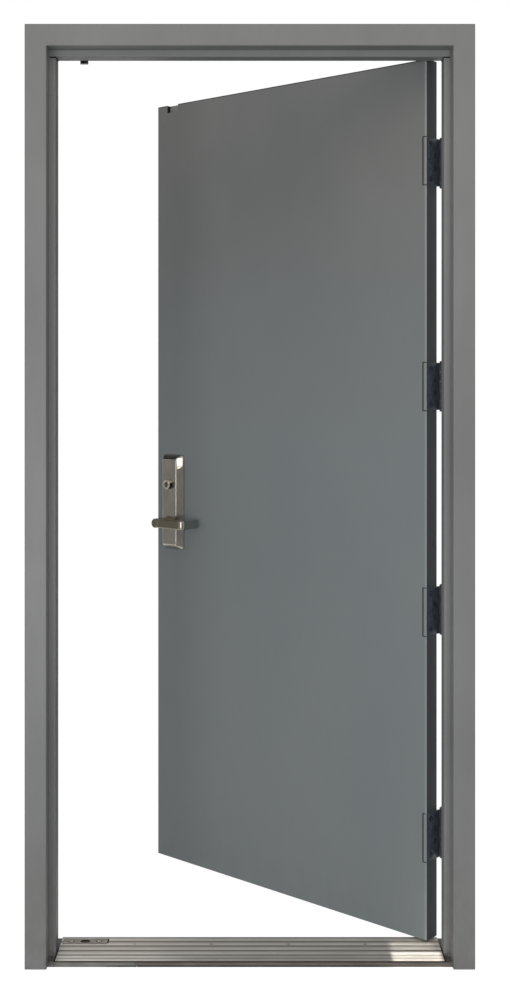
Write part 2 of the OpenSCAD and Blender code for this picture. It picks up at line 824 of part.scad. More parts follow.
// Outline of an escutcheon's slopes across a width w
function trim_profile(w) =
    rounded([[-w / 2, 0], [w / 2, 0], [w / 2, trim_lip], [w / 2 - trim_slope, trim_d],
        [-w / 2 + trim_slope, trim_d], [-w / 2, trim_lip]],
        [0, 0, trim_edge, trim_edge, trim_edge, trim_edge]);

module escutcheon_body() {
    c = trim_corner;
    w = trim_w / 2;
    h = trim_h / 2;
    intersection() {
        rotate([90, 0, 0]) linear_extrude(trim_h, center = true) polygon(trim_profile(trim_w));
        rotate([90, 0, 90]) linear_extrude(trim_w, center = true) polygon(trim_profile(trim_h));
        linear_extrude(trim_d)
            polygon(rounded([[-w, -h], [w, -h], [w, h], [-w, h]], [c, c, c, c]));
    }
}

module outside_escutcheon() {
    color("#7a746c") on_door() difference() {
        on_push_face(trim_z) escutcheon_body();
        on_push_face(cylinder_z) cylinder(r = cylinder_r + snug, h = 2 * trim_d + over, center = true);
        on_push_face(lever_z) cylinder(r = neck_r + neck_fit, h = 2 * trim_d + over, center = true);
    }
}

module inside_escutcheon() {
    color("#7a746c") on_door() on_pull_side() difference() {
        on_push_face(trim_z) escutcheon_body();
        on_push_face(lever_z) cylinder(r = neck_r + neck_fit, h = 2 * trim_d + over, center = true);
    }
}

module key_cylinder() {
    back = (door_t - case_t) / 2;
    out = trim_d + cylinder_out;
    plug_r = cylinder_r / 2;
    bevel = 1.5;
    key_w = 1.8;
    key_h = plug_r * 1.5;
    key_d = 6;
    color("#8b857b") on_door() on_push_face(cylinder_z) difference() {
        rotate_extrude() polygon([[0, -back], [cylinder_r, -back], [cylinder_r, out - bevel],
            [cylinder_r - bevel, out], [plug_r + bevel, out], [plug_r, out - bevel], [0, out - bevel]]);
        box([-key_w / 2, -key_h / 2, out - key_d], [key_w / 2, key_h / 2, out + over]);
    }
}

// Rose with a flat upright grip, its corners rounded
module thumbturn() {
    rose_r = 11;
    rose_h = 6;
    bevel = 1.5;
    l = thumb_l / 2;
    tip_r = thumb_t;
    color("#8b857b") on_door() on_pull_side() on_push_face(cylinder_z) translate([0, 0, trim_d]) union() {
        rotate_extrude() polygon([[0, 0], [rose_r, 0], [rose_r, rose_h - bevel], [rose_r - bevel, rose_h],
            [0, rose_h]]);
        rotate([90, 0, 90]) linear_extrude(thumb_t, center = true)
            polygon(rounded([[-rose_r + bevel, 0], [rose_r - bevel, 0], [l, rose_h + bevel], [l, thumb_out],
                [-l, thumb_out], [-l, rose_h + bevel]], [0, 0, bevel, tip_r, tip_r, bevel]));
    }
}

// Section of the lever's arm: x is the distance behind its outer face
module arm_section() {
    h = arm_h / 2;
    r = arm_edge;
    polygon(rounded([[0, -h], [arm_t, -h], [arm_t, h], [0, h]], [r, r, r, r]));
}

// Lever on the push face, with its arm towards the hinges and its end turned back to the door
module lever() {
    bevel = 1;
    foot = 12;
    front_z = lever_out - bevel;
    outer_bend = arm_bend + arm_t;
    collar_z0 = trim_d + neck_fit;
    collar_z1 = collar_z0 + collar_t;
    difference() {
        union() {
            rotate_extrude() polygon(concat([[0, collar_z0 - foot], [neck_r, collar_z0 - foot],
                [neck_r, collar_z0], [collar_r, collar_z0], [collar_r, collar_z1 - bevel],
                [collar_r - bevel, collar_z1], [neck_r, collar_z1]],
                corner([neck_r, trim_d], [neck_r, lever_out], [0, lever_out], arm_edge), [[0, lever_out]]));
            translate([0, 0, front_z]) rotate([0, 90, 0])
                linear_extrude(lever_l - outer_bend) arm_section();
            translate([lever_l - outer_bend, 0, front_z - outer_bend]) rotate([90, 0, 0])
                rotate_extrude(angle = 90) translate([arm_bend, 0]) arm_section();
            translate([lever_l - arm_t, 0, return_gap])
                linear_extrude(front_z - outer_bend - return_gap) arm_section();
        }
        spindle_bar();
    }
}

// Square bar from the middle of the door to inside a lever
module spindle_bar() {
    s = spindle_w / 2;
    box([-s, -s, -door_t / 2], [s, s, lever_out - spindle_in]);
}

module outside_lever() {
    color("#7d766d") on_door() on_push_face(lever_z) lever();
}

module inside_lever() {
    color("#7d766d") on_door() on_pull_side() on_push_face(lever_z) lever();
}

module spindle() {
    color("#8d8d89") on_door() {
        on_push_face(lever_z) spindle_bar();
        on_pull_side() on_push_face(lever_z) spindle_bar();
    }
}

hinge_jamb();
strike_jamb();
head();
sill();
threshold();
bottom_strike();
top_strike();
lock_strike();
frame_leaf(0);  // hinge_1_frame_leaf
frame_leaf(1);  // hinge_2_frame_leaf
frame_leaf(2);  // hinge_3_frame_leaf
frame_leaf(3);  // hinge_4_frame_leaf
hinge_pin(0);  // hinge_1_pin
hinge_pin(1);  // hinge_2_pin
hinge_pin(2);  // hinge_3_pin
hinge_pin(3);  // hinge_4_pin
hinge_plates();
hinge_jamb_anchors();
strike_jamb_anchors();
floor_clips();
push_skin();
pull_skin();
core();
hinge_edge_channel();
lock_edge_channel();
top_channel();
bottom_channel();
door_leaf(0);  // hinge_1_door_leaf
door_leaf(1);  // hinge_2_door_leaf
door_leaf(2);  // hinge_3_door_leaf
door_leaf(3);  // hinge_4_door_leaf
hinge_fillers();
lock_case();
lock_front();
latch_bolt();
top_latch();
bottom_bolt();
outside_escutcheon();
key_cylinder();
inside_escutcheon();
thumbturn();
outside_lever();
spindle();
inside_lever();
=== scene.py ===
import json
import math

import bmesh
import bpy
from mathutils import Matrix, Vector


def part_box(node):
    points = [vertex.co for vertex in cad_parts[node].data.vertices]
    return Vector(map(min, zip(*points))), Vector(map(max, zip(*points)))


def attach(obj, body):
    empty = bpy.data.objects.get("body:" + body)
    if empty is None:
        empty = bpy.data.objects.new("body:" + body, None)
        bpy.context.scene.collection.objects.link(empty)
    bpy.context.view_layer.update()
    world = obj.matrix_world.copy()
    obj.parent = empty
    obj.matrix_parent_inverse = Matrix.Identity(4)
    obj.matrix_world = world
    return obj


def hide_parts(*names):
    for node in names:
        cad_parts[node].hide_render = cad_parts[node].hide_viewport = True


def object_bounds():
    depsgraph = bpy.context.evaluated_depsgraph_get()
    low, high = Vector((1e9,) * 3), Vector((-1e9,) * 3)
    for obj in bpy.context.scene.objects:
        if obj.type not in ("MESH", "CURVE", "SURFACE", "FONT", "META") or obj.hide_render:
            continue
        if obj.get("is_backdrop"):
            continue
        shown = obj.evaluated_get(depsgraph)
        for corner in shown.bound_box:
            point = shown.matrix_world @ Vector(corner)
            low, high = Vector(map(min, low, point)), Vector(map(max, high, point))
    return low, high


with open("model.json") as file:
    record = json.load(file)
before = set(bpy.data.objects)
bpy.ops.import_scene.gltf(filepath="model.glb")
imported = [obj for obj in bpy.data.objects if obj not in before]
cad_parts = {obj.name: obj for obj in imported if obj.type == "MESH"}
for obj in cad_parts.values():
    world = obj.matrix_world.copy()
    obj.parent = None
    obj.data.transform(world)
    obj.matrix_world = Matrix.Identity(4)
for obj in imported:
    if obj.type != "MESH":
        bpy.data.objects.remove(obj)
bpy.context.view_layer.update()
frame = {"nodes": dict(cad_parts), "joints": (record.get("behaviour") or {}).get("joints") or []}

nodes = frame["nodes"]
joints = {joint["name"]: joint for joint in frame["joints"]}
mm = 0.001


# --- The welded frame -------------------------------------------------------------------
# Two jambs and a head of 14 gauge sheet steel, press-braked to a double-rabbet section,
# mitred, welded at the corners and ground smooth, then primed and painted satin grey.
FRAME_GREY = "#7d7e7e"
FRAME_SHADE = "#717272"
FOOT_GRIME = "#5b554f"
FRAME_GRIME_TOP = 0.35
STOP_H = 15 * mm


def linear(colour):
    """An sRGB hex colour as linear values with full alpha."""
    parts = [int(colour[i : i + 2], 16) / 255 for i in (1, 3, 5)]
    return [c / 12.92 if c <= 0.04045 else ((c + 0.055) / 1.055) ** 2.4 for c in parts] + [1]


def add(tree, kind, sockets=None, **options):
    """Adds a node, sets its options, and sets or links its sockets by name or number."""
    node = tree.nodes.new(kind)
    for name, value in options.items():
        setattr(node, name, value)
    for key, value in (sockets or {}).items():
        if isinstance(value, bpy.types.NodeSocket):
            tree.links.new(value, node.inputs[key])
        else:
            node.inputs[key].default_value = value
    return node


def new_finish(name, **shader):
    """A material with its shader, and the coordinates of the piece in metres."""
    finish = bpy.data.materials.new(name)
    finish.use_nodes = True
    tree = finish.node_tree
    tree.nodes.clear()
    sockets = {name.replace("_", " "): value for name, value in shader.items()}
    bsdf = add(tree, "ShaderNodeBsdfPrincipled", sockets)
    add(tree, "ShaderNodeOutputMaterial", {"Surface": bsdf.outputs[0]})
    place = add(tree, "ShaderNodeTexCoord").outputs["Object"]
    return finish, tree, bsdf, place


def coat(tree, bsdf, colour, rough=None):
    """Links a colour to a shader, and a roughness where it varies."""
    tree.links.new(colour, bsdf.inputs["Base Color"])
    if rough is not None:
        tree.links.new(rough, bsdf.inputs["Roughness"])


def noise(tree, place, size, stretch=(1, 1, 1), detail=3.0, rough=0.55):
    """Noise whose patches are about size metres across, drawn out by stretch."""
    scale = [1 / (size * s) for s in stretch]
    scaled = add(tree, "ShaderNodeMapping", {"Vector": place, "Scale": scale}).outputs[0]
    return add(tree, "ShaderNodeTexNoise", {"Vector": scaled, "Scale": 1.0,
               "Detail": detail, "Roughness": rough}).outputs["Fac"]


def spread(tree, value, low, high, to_low=0.0, to_high=1.0):
    """Value between low and high, stretched to run from to_low to to_high."""
    ends = {0: value, 1: low, 2: high, 3: to_low, 4: to_high}
    return add(tree, "ShaderNodeMapRange", ends).outputs[0]


def blend(tree, share, first, second):
    """Second over first, by a share from 0 to 1."""
    return add(tree, "ShaderNodeMix", {0: share, 6: first, 7: second}, data_type="RGBA").outputs[2]


def product(tree, a, b):
    return add(tree, "ShaderNodeMath", {0: a, 1: b}, operation="MULTIPLY").outputs[0]


def satin_enamel(name, colour, shade, grime_top, edges=None):
    """Alkyd enamel sprayed on primed steel: satin, with a faint orange peel about 3 mm across,
    slow changes of shade, rubbed patches, dirt that thins out up to grime_top, and what edges
    adds."""
    finish, tree, bsdf, place = new_finish(name, IOR=1.5)
    shades = spread(tree, noise(tree, place, 0.45, (1, 1, 1.6)), 0.35, 0.65)
    rubbed = spread(tree, noise(tree, place, 0.02, (1, 1, 2.5), 6), 0.45, 0.8, 0, 0.5)
    paint = blend(tree, shades, linear(shade), linear(colour))
    paint = blend(tree, product(tree, rubbed, 0.35), paint, linear(shade))
    height = add(tree, "ShaderNodeSeparateXYZ", {0: place}).outputs[2]
    low = spread(tree, height, 0.0, grime_top, 1.0, 0.0)
    dirt = product(tree, low, spread(tree, noise(tree, place, 0.03, (1, 1, 1.5), 5), 0.35, 0.7))
    paint = blend(tree, product(tree, dirt, 0.35), paint, linear(FOOT_GRIME))
    if edges:
        paint = edges(tree, place, paint)
    peel = noise(tree, place, 0.003, detail=1.5)
    bump = add(tree, "ShaderNodeBump", {"Height": peel, "Strength": 0.12, "Distance": 0.0004})
    coat(tree, bsdf, paint, spread(tree, rubbed, 0, 0.5, 0.5, 0.62))
    tree.links.new(bump.outputs[0], bsdf.inputs["Normal"])
    bsdf.inputs["Specular IOR Level"].default_value = 0.28
    return finish


def dress(finish, *names):
    """Gives CAD nodes a finish through their material slots."""
    for name in names:
        mesh = nodes[name].data
        for i in range(max(1, len(mesh.materials))):
            if len(mesh.materials) <= i:
                mesh.materials.append(finish)
            else:
                mesh.materials[i] = finish


jamb_low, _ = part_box("hinge_jamb")


def jamb_marks(tree, place, paint):
    """Dirt packed in the corner beside each jamb's stop at the foot, and a painted shade line
    along the strike jamb's stop edge."""
    across, _, height = add(tree, "ShaderNodeSeparateXYZ", {0: place}).outputs
    from_middle = add(tree, "ShaderNodeMath", {0: across}, operation="ABSOLUTE").outputs[0]
    beside_stop = spread(tree, from_middle, jamb_low.x + 22 * mm, jamb_low.x + 12 * mm)
    corner = product(tree, spread(tree, height, 30 * mm, 8 * mm), beside_stop)
    corner = product(tree, corner, spread(tree, noise(tree, place, 7 * mm, detail=5), 0.4, 0.6))
    # Painted shade: a dark line on the strike jamb's stop edge.
    stop_edge_shade = product(tree, spread(tree, from_middle, jamb_low.x + 0.5 * mm, jamb_low.x + 0.1 * mm),
                     spread(tree, across, -0.1, 0.1, 1, 0))
    paint = blend(tree, product(tree, stop_edge_shade, 0.55), paint, linear("#4a4a49"))
    return blend(tree, product(tree, corner, 0.85), paint, linear("#2b2825"))


dress(satin_enamel("frame_paint", FRAME_GREY, FRAME_SHADE, FRAME_GRIME_TOP), "head")
jamb_paint = satin_enamel("jamb_paint", FRAME_GREY, FRAME_SHADE, FRAME_GRIME_TOP, jamb_marks)
dress(jamb_paint, "hinge_jamb", "strike_jamb")


def as_object(data, name):
    """A new object in the scene with a mesh, a lamp or a camera in it."""
    piece = bpy.data.objects.new(name, data)
    bpy.context.scene.collection.objects.link(piece)
    return piece


def mesh_from(bm, name, finish):
    """Turns an edited mesh into a plain one, all in one finish."""
    mesh = bpy.data.meshes.new(name)
    bm.to_mesh(mesh)
    bm.free()
    mesh.materials.append(finish)
    return mesh


def slab(bm, low, high):
    """Adds a closed block between two corners."""
    corners = [bm.verts.new((x, y, z)) for x in (low[0], high[0])
               for y in (low[1], high[1]) for z in (low[2], high[2])]
    for face in ((0, 1, 3, 2), (4, 6, 7, 5), (0, 4, 5, 1), (2, 3, 7, 6), (0, 2, 6, 4),
                 (1, 5, 7, 3)):
        bm.faces.new([corners[k] for k in face])


def closed_form(bm, loops):
    """Adds a closed form through loops of equal length, with a face at each end."""
    rings = [[bm.verts.new(p) for p in loop] for loop in loops]
    count = len(rings[0])
    for a, b in zip(rings, rings[1:]):
        for k in range(count):
            bm.faces.new((a[k], a[(k + 1) % count], b[(k + 1) % count], b[k]))
    bm.faces.new(reversed(rings[0]))
    bm.faces.new(rings[-1])


# The stops of head and jambs butt together; paint bridges the joint and leaves a dark line.
joint_shadow, tree, bsdf, place = new_finish("open_joint", Roughness=0.9)
coat(tree, bsdf, blend(tree, noise(tree, place, 0.004), linear("#080808"), linear("#121212")))
head_low, head_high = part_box("head")
STOP_FRONT, STOP_BACK = head_low.y + 49.2 * mm, head_high.y - 50.1 * mm
SEAM_H, SEAM_PROUD, SEAM_SUNK = 2.8 * mm, 0.1 * mm, 0.2 * mm
seams = bmesh.new()
for side in (-1, 1):
    x0, x1 = sorted((side * jamb_low.x, side * (jamb_low.x + STOP_H)))
    x0 -= SEAM_PROUD if side > 0 else 0
    x1 += SEAM_PROUD if side < 0 else 0
    slab(seams, (x0, STOP_FRONT - SEAM_PROUD, head_low.z - SEAM_H),
         (x1, STOP_BACK + SEAM_PROUD, head_low.z + SEAM_SUNK))
seam_mesh = mesh_from(seams, "stop_joints", joint_shadow)
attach(as_object(seam_mesh, "stop_joints"), "frame")


# --- Steel in the wall --------------------------------------------------------------------
# Anchors welded into the throats, clips under the jambs and reinforcing plates behind the
# hinges, all cut from steel sheet, with the mill's thin grey primer and some weld scale.
primed_steel, tree, bsdf, place = new_finish("primed_steel", Metallic=0.0, Roughness=0.62)
patches = spread(tree, noise(tree, place, 0.03, detail=5), 0.3, 0.7)
coat(tree, bsdf, blend(tree, patches, linear("#62625f"), linear("#74736e")))
dress(primed_steel, "hinge_plates", "hinge_jamb_anchors", "strike_jamb_anchors", "floor_clips")


# --- The sill -----------------------------------------------------------------------------
# A flat steel filler under the threshold, in two lengths that meet left of the middle. It is
# dark painted steel, rubbed and dusty along its front edge, greyer in the shorter length.
sill_steel, tree, bsdf, place = new_finish("sill_steel", IOR=1.5, Roughness=0.6)
SILL_JOINT = -262.6 * mm
CONTACT_SHADE_LEFT, CONTACT_SHADE_RIGHT, STRIKE_END = (-0.36, -0.30), (0.31, 0.35), (-0.455, -0.44)
side, _, height = add(tree, "ShaderNodeSeparateXYZ", {0: place}).outputs
shorter = spread(tree, side, SILL_JOINT - 0.5 * mm, SILL_JOINT + 0.5 * mm, 1, 0)
dust = spread(tree, noise(tree, place, 0.02, (3, 1, 1), 5), 0.35, 0.7)
brown = blend(tree, dust, linear("#504a46"), linear("#645d58"))
grey = blend(tree, dust, linear("#666562"), linear("#7c7a76"))
paint = blend(tree, shorter, brown, grey)
# Its lowest edge is painted black, except near the jambs: painted shade where the sill meets the
# floor.
contact_shade_run = product(tree, spread(tree, side, *CONTACT_SHADE_LEFT), spread(tree, side, *CONTACT_SHADE_RIGHT, 1, 0))
foot = product(tree, spread(tree, height, 3.4 * mm, 4.0 * mm, 1, 0), contact_shade_run)
foot = product(tree, foot, spread(tree, noise(tree, place, 0.012, (4, 1, 1), 3), 0.25, 0.5, 0.5, 1))
specks = spread(tree, noise(tree, place, 6 * mm), 0.4, 0.6)
end_dirt = product(tree, spread(tree, side, *STRIKE_END, 1, 0), specks)
near_joint = product(tree, spread(tree, side, SILL_JOINT - 9 * mm, SILL_JOINT - 2 * mm), shorter)
near_joint = product(tree, near_joint, spread(tree, noise(tree, place, 4 * mm), 0.42, 0.55))
for share in (end_dirt, near_joint):
    paint = blend(tree, product(tree, share, 0.8), paint, linear("#23201e"))
coat(tree, bsdf, blend(tree, foot, paint, linear("#100f0e")))
dress(sill_steel, "sill")


# --- The threshold ------------------------------------------------------------------------
# A fluted aluminium extrusion in six bands, cut to length between the stops. Mill finish:
# bright on the nose of each band, grey beside the grooves between bands; partly rubbed metal
# and trodden dirt, partly painted highlight and painted shade.
threshold_low, threshold_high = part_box("threshold")
mill_aluminium, tree, bsdf, place = new_finish("mill_aluminium", Metallic=0.85)
parts = add(tree, "ShaderNodeSeparateXYZ", {0: place}).outputs
NARROW_BAND, WIDE_BAND, NARROW_BANDS = 17 * mm, 26.7 * mm, 2
wide_start = threshold_low.y + NARROW_BANDS * NARROW_BAND


def band_highlight_and_wear(tree, depth, start, width, nose, tail):
    """1 on the nose of each band, behind its groove, falling to 0 in the grooves."""
    turns = spread(tree, depth, start, start + width * 8, 0, 8)
    phase = add(tree, "ShaderNodeMath", {0: turns, 1: 1.0}, operation="FLOORED_MODULO").outputs[0]
    return product(tree, spread(tree, phase, 0.06, nose), spread(tree, phase, tail, 0.97, 1, 0))


narrow = band_highlight_and_wear(tree, parts[1], threshold_low.y, NARROW_BAND, 0.12, 0.6)
wide = band_highlight_and_wear(tree, parts[1], wide_start, WIDE_BAND, 0.22, 0.45)
past = spread(tree, parts[1], wide_start - 0.1 * mm, wide_start + 0.1 * mm)
rubbed = add(tree, "ShaderNodeMix", {0: past, 2: narrow, 3: wide}).outputs[0]
ridge_z = threshold_high.z
groove_shade = spread(tree, parts[2], ridge_z - 1.6 * mm, ridge_z - 0.1 * mm, 1, 0)
front_edge = spread(tree, parts[1], threshold_low.y, threshold_low.y + 1 * mm, 1, 0)
lower_half = spread(tree, parts[2], ridge_z - 0.7 * mm, ridge_z - 0.3 * mm, 1, 0)
front_face_shade = product(tree, front_edge, lower_half)
drawn = spread(tree, noise(tree, place, 1.2 * mm, (80, 1, 1), 3), 0.3, 0.7)
trodden = spread(tree, noise(tree, place, 0.06, (2.5, 1, 1), 6), 0.35, 0.65)
# The clean metal on each band's nose is partly a painted highlight, and the grey beside the grooves
# is partly painted shade.
dirt_and_shade_grey = blend(tree, drawn, linear("#9a938b"), linear("#aba49b"))
clean_and_highlight = blend(tree, drawn, linear("#ece9e3"), linear("#f6f4ef"))
metal = blend(tree, rubbed, dirt_and_shade_grey, clean_and_highlight)
metal = blend(tree, product(tree, trodden, 0.25), metal, linear("#b4ada4"))
# Painted shade: darker in the grooves and below the ridges.
metal = blend(tree, product(tree, groove_shade, 0.7), metal, linear("#5b5650"))
# Painted shade: the lower half of the front face is near black.
metal = blend(tree, front_face_shade, metal, linear("#0b0a08"))
polish = product(tree, rubbed, spread(tree, past, 0, 1, 1, 0.5))
coat(tree, bsdf, metal, spread(tree, polish, 0, 1, 0.62, 0.42))
dress(mill_aluminium, "threshold")

# The saw-cut ends stand a little off the stops and the gap holds black dirt.
black_dirt_and_shade, tree, bsdf, place = new_finish("packed_dirt_and_shade", Roughness=0.95)
coat(tree, bsdf, blend(tree, noise(tree, place, 3 * mm), linear("#0f0e0c"), linear("#1d1b18")))
dirt = bmesh.new()
for side in (-1, 1):
    ends = sorted((side * (threshold_high.x - 0.05 * mm), side * (jamb_low.x - 0.1 * mm)))
    slab(dirt, (ends[0], threshold_low.y + 0.3 * mm, threshold_low.z),
         (ends[1], STOP_BACK, threshold_high.z - 0.6 * mm))
dirt_mesh = mesh_from(dirt, "threshold_end_dirt", black_dirt_and_shade)
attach(as_object(dirt_mesh, "threshold_end_dirt"), "frame")


# --- Screws -------------------------------------------------------------------------------
# Countersunk cross-recess screws in zinc-plated steel, driven flush in every plate. One
# tree draws a head at each point, turned as it happened to stop, with a dark rim round it,
# painted shade in the countersink's gap.
zinc_plate, tree, bsdf, place = new_finish("zinc_plated_screw", Metallic=1.0, Roughness=0.38)
patches = spread(tree, noise(tree, place, 0.003, detail=3), 0.3, 0.7)
coat(tree, bsdf, blend(tree, patches, linear("#a5a39c"), linear("#cfcdc6")))

# The rim's finish is painted shade for the gap round each head.
countersink_shade, tree, bsdf, place = new_finish("countersink_edge", Metallic=1.0, Roughness=0.5)
patches = spread(tree, noise(tree, place, 0.002, detail=2), 0.3, 0.7)
coat(tree, bsdf, blend(tree, patches, linear("#262523"), linear("#3a3835")))

screw_tree = bpy.data.node_groups.new("countersunk_screws", "GeometryNodeTree")
screw_tree.interface.new_socket("Geometry", in_out="INPUT", socket_type="NodeSocketGeometry")
for label, kind in (("Head radius", "NodeSocketFloat"), ("Head height", "NodeSocketFloat"),
                    ("Standing proud", "NodeSocketFloat"), ("Rim share", "NodeSocketFloat"),
                    ("Seed", "NodeSocketInt"), ("Head finish", "NodeSocketMaterial"),
                    ("Rim finish", "NodeSocketMaterial")):
    screw_tree.interface.new_socket(label, in_out="INPUT", socket_type=kind)
screw_tree.interface.new_socket("Geometry", in_out="OUTPUT", socket_type="NodeSocketGeometry")
given = add(screw_tree, "NodeGroupInput").outputs


def times(a, b):
    return add(screw_tree, "ShaderNodeMath", {0: a, 1: b}, operation="MULTIPLY").outputs[0]


def at_height(geometry, height):
    shift = add(screw_tree, "ShaderNodeCombineXYZ", {2: height}).outputs[0]
    return add(screw_tree, "GeometryNodeTransform", {0: geometry, "Translation": shift}).outputs[0]


# The shares are of the head's radius: its foot, the width and length of each recess slot,
# and how much the rim's upper edge draws in.
HEAD_SIDES, FOOT_SHARE, SLOT_SHARE, SLOT_LONG, RIM_DRAWN = 24, 0.45, 0.26, 1.1, 0.93
radius, height, proud = given["Head radius"], given["Head height"], given["Standing proud"]
cone = add(screw_tree, "GeometryNodeMeshCone", {"Vertices": HEAD_SIDES, "Radius Top": radius,
           "Radius Bottom": times(radius, FOOT_SHARE), "Depth": height}).outputs["Mesh"]
sunk = add(screw_tree, "ShaderNodeMath", {0: proud, 1: height}, operation="SUBTRACT").outputs[0]
cone = at_height(cone, sunk)
bars = []
for across, along in ((SLOT_SHARE, SLOT_LONG), (SLOT_LONG, SLOT_SHARE)):
    size = add(screw_tree, "ShaderNodeCombineXYZ", {0: times(radius, across),
               1: times(radius, along), 2: height}).outputs[0]
    bar = add(screw_tree, "GeometryNodeMeshCube", {"Size": size}).outputs["Mesh"]
    bars.append(at_height(bar, proud))
cut = add(screw_tree, "GeometryNodeMeshBoolean", {"Mesh 1": cone}, operation="DIFFERENCE",
          solver="EXACT")
for bar in bars:
    screw_tree.links.new(bar, cut.inputs["Mesh 2"])
rim_radius = times(radius, given["Rim share"])
rim = add(screw_tree, "GeometryNodeMeshCone", {"Vertices": HEAD_SIDES,
          "Radius Top": times(rim_radius, RIM_DRAWN), "Radius Bottom": rim_radius,
          "Depth": times(proud, 0.5)}).outputs["Mesh"]
rim = add(screw_tree, "GeometryNodeSetMaterial", {"Geometry": rim,
          "Material": given["Rim finish"]}).outputs[0]
whole = add(screw_tree, "GeometryNodeJoinGeometry")
screw_tree.links.new(cut.outputs["Mesh"], whole.inputs[0])
screw_tree.links.new(rim, whole.inputs[0])
axis = add(screw_tree, "GeometryNodeInputNamedAttribute", {"Name": "axis"},
           data_type="FLOAT_VECTOR").outputs[0]
facing = add(screw_tree, "FunctionNodeAlignRotationToVector", {"Vector": axis}, axis="Z").outputs[0]
stopped = add(screw_tree, "FunctionNodeRandomValue", {2: 0.0, 3: 1.57, "Seed": given["Seed"]},
              data_type="FLOAT").outputs[1]
spin = add(screw_tree, "FunctionNodeAxisAngleToRotation", {"Axis": (0, 0, 1),
           "Angle": stopped}).outputs[0]
turned = add(screw_tree, "FunctionNodeRotateRotation", {0: facing, 1: spin},
             rotation_space="LOCAL").outputs[0]
driven = add(screw_tree, "GeometryNodeInstanceOnPoints", {"Points": given["Geometry"],
             "Instance": whole.outputs[0], "Rotation": turned}).outputs[0]
real = add(screw_tree, "GeometryNodeRealizeInstances", {0: driven}).outputs[0]
of_rim = add(screw_tree, "GeometryNodeMaterialSelection",
             {"Material": given["Rim finish"]}).outputs[0]
of_head = add(screw_tree, "FunctionNodeBooleanMath", {0: of_rim}, operation="NOT").outputs[0]
plated = add(screw_tree, "GeometryNodeSetMaterial", {"Geometry": real, "Selection": of_head,
             "Material": given["Head finish"]}).outputs[0]
add(screw_tree, "NodeGroupOutput", {0: plated})


def with_modifiers(piece):
    """The mesh that a piece's modifiers make."""
    graph = bpy.context.evaluated_depsgraph_get()
    return bpy.data.meshes.new_from_object(piece.evaluated_get(graph))


def screws(name, spots, head_r, body, seed, proud=0.2 * mm, finish=zinc_plate, rim=1.25):
    """Screw heads at the given (place, outward direction) pairs, as one plain mesh on a body."""
    points = bpy.data.meshes.new(name)
    points.from_pydata([spot for spot, _ in spots], [], [])
    direction = points.attributes.new("axis", "FLOAT_VECTOR", "POINT")
    for i, (_, out) in enumerate(spots):
        direction.data[i].vector = out
    holder = as_object(points, name + "_points")
    modifier = holder.modifiers.new("screws", "NODES")
    modifier.node_group = screw_tree
    values = {"Head radius": head_r, "Head height": head_r * 0.55, "Standing proud": proud,
              "Rim share": rim, "Seed": seed, "Head finish": finish, "Rim finish": countersink_shade}
    for item in screw_tree.interface.items_tree:
        if item.name in values:
            modifier[item.identifier] = values[item.name]
    made = with_modifiers(holder)
    bpy.data.objects.remove(holder)
    piece = as_object(made, name)
    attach(piece, body)


UP = Vector((0, 0, 1))
SCREW_PITCH, SCREW_SET = 183.3 * mm, 112.8 * mm
row_y = head_low.y + SCREW_SET
screws("threshold_screws", [(Vector((k * SCREW_PITCH, row_y, threshold_high.z - 0.3 * mm)), UP)
       for k in (-1.5, -0.5, 0.5, 1.5)], 5.2 * mm, "frame", 3, 0.1 * mm)


# --- The strikes --------------------------------------------------------------------------
# Stainless plates let in flush where the bolts go: one in the floor with an oval hole, one
# in the head with the lug that the top latch grips, one in the jamb. Each has two screws.
satin_stainless, tree, bsdf, place = new_finish("satin_stainless", Metallic=1.0)
rolled = spread(tree, noise(tree, place, 0.0015, (1, 1, 25), 3), 0.3, 0.7)
smudged = spread(tree, noise(tree, place, 0.012, detail=4), 0.35, 0.7)
metal = blend(tree, rolled, linear("#7c7a75"), linear("#94918b"))
metal = blend(tree, product(tree, smudged, 0.6), metal, linear("#5d5a55"))
coat(tree, bsdf, metal, spread(tree, smudged, 0, 1, 0.36, 0.52))
dress(satin_stainless, "lock_strike")

trodden_stainless, tree, bsdf, place = new_finish("trodden_stainless", Metallic=1.0, Roughness=0.5)
scuffs = spread(tree, noise(tree, place, 4 * mm, (3, 1, 1), 5), 0.3, 0.7)
metal = blend(tree, scuffs, linear("#7a736b"), linear("#a59e94"))
foot_low, foot_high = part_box("bottom_strike")
height = add(tree, "ShaderNodeSeparateXYZ", {0: place}).outputs[2]
# Painted shade: everything more than half a millimetre below its top face, round the hole and on
# its sides, is near black.
sunk = spread(tree, height, foot_high.z - 0.5 * mm, foot_high.z - 0.15 * mm, 1, 0)
coat(tree, bsdf, blend(tree, sunk, metal, linear("#0c0b0a")))
dress(trodden_stainless, "bottom_strike")

dull_steel, tree, bsdf, place = new_finish("dull_grey_steel", Metallic=0.8, Roughness=0.55)
lug_low, lug_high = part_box("top_strike")
patches = spread(tree, noise(tree, place, 4 * mm, detail=4), 0.4, 0.6)
metal = blend(tree, patches, linear("#5d5d5c"), linear("#929290"))
# Painted shadow: the lug's upper part, just under the head's stop, is near black, the stop's shadow
# on it.
height = add(tree, "ShaderNodeSeparateXYZ", {0: place}).outputs[2]
stop_shadow = spread(tree, height, lug_low.z + 2.4 * mm, lug_low.z + 3.0 * mm)
coat(tree, bsdf, blend(tree, stop_shadow, metal, linear("#0e0e0e")))
dress(dull_steel, "top_strike")

foot_middle = (foot_low + foot_high) / 2
FOOT_SCREWS, HEAD_SCREWS, JAMB_SCREWS = 33 * mm, 21 * mm, 50 * mm
screws("bottom_strike_screws",
       [(Vector((foot_middle.x + s * FOOT_SCREWS, foot_middle.y, foot_high.z)), UP)
        for s in (-1, 1)], 4.8 * mm, "frame", 5, rim=1.6)
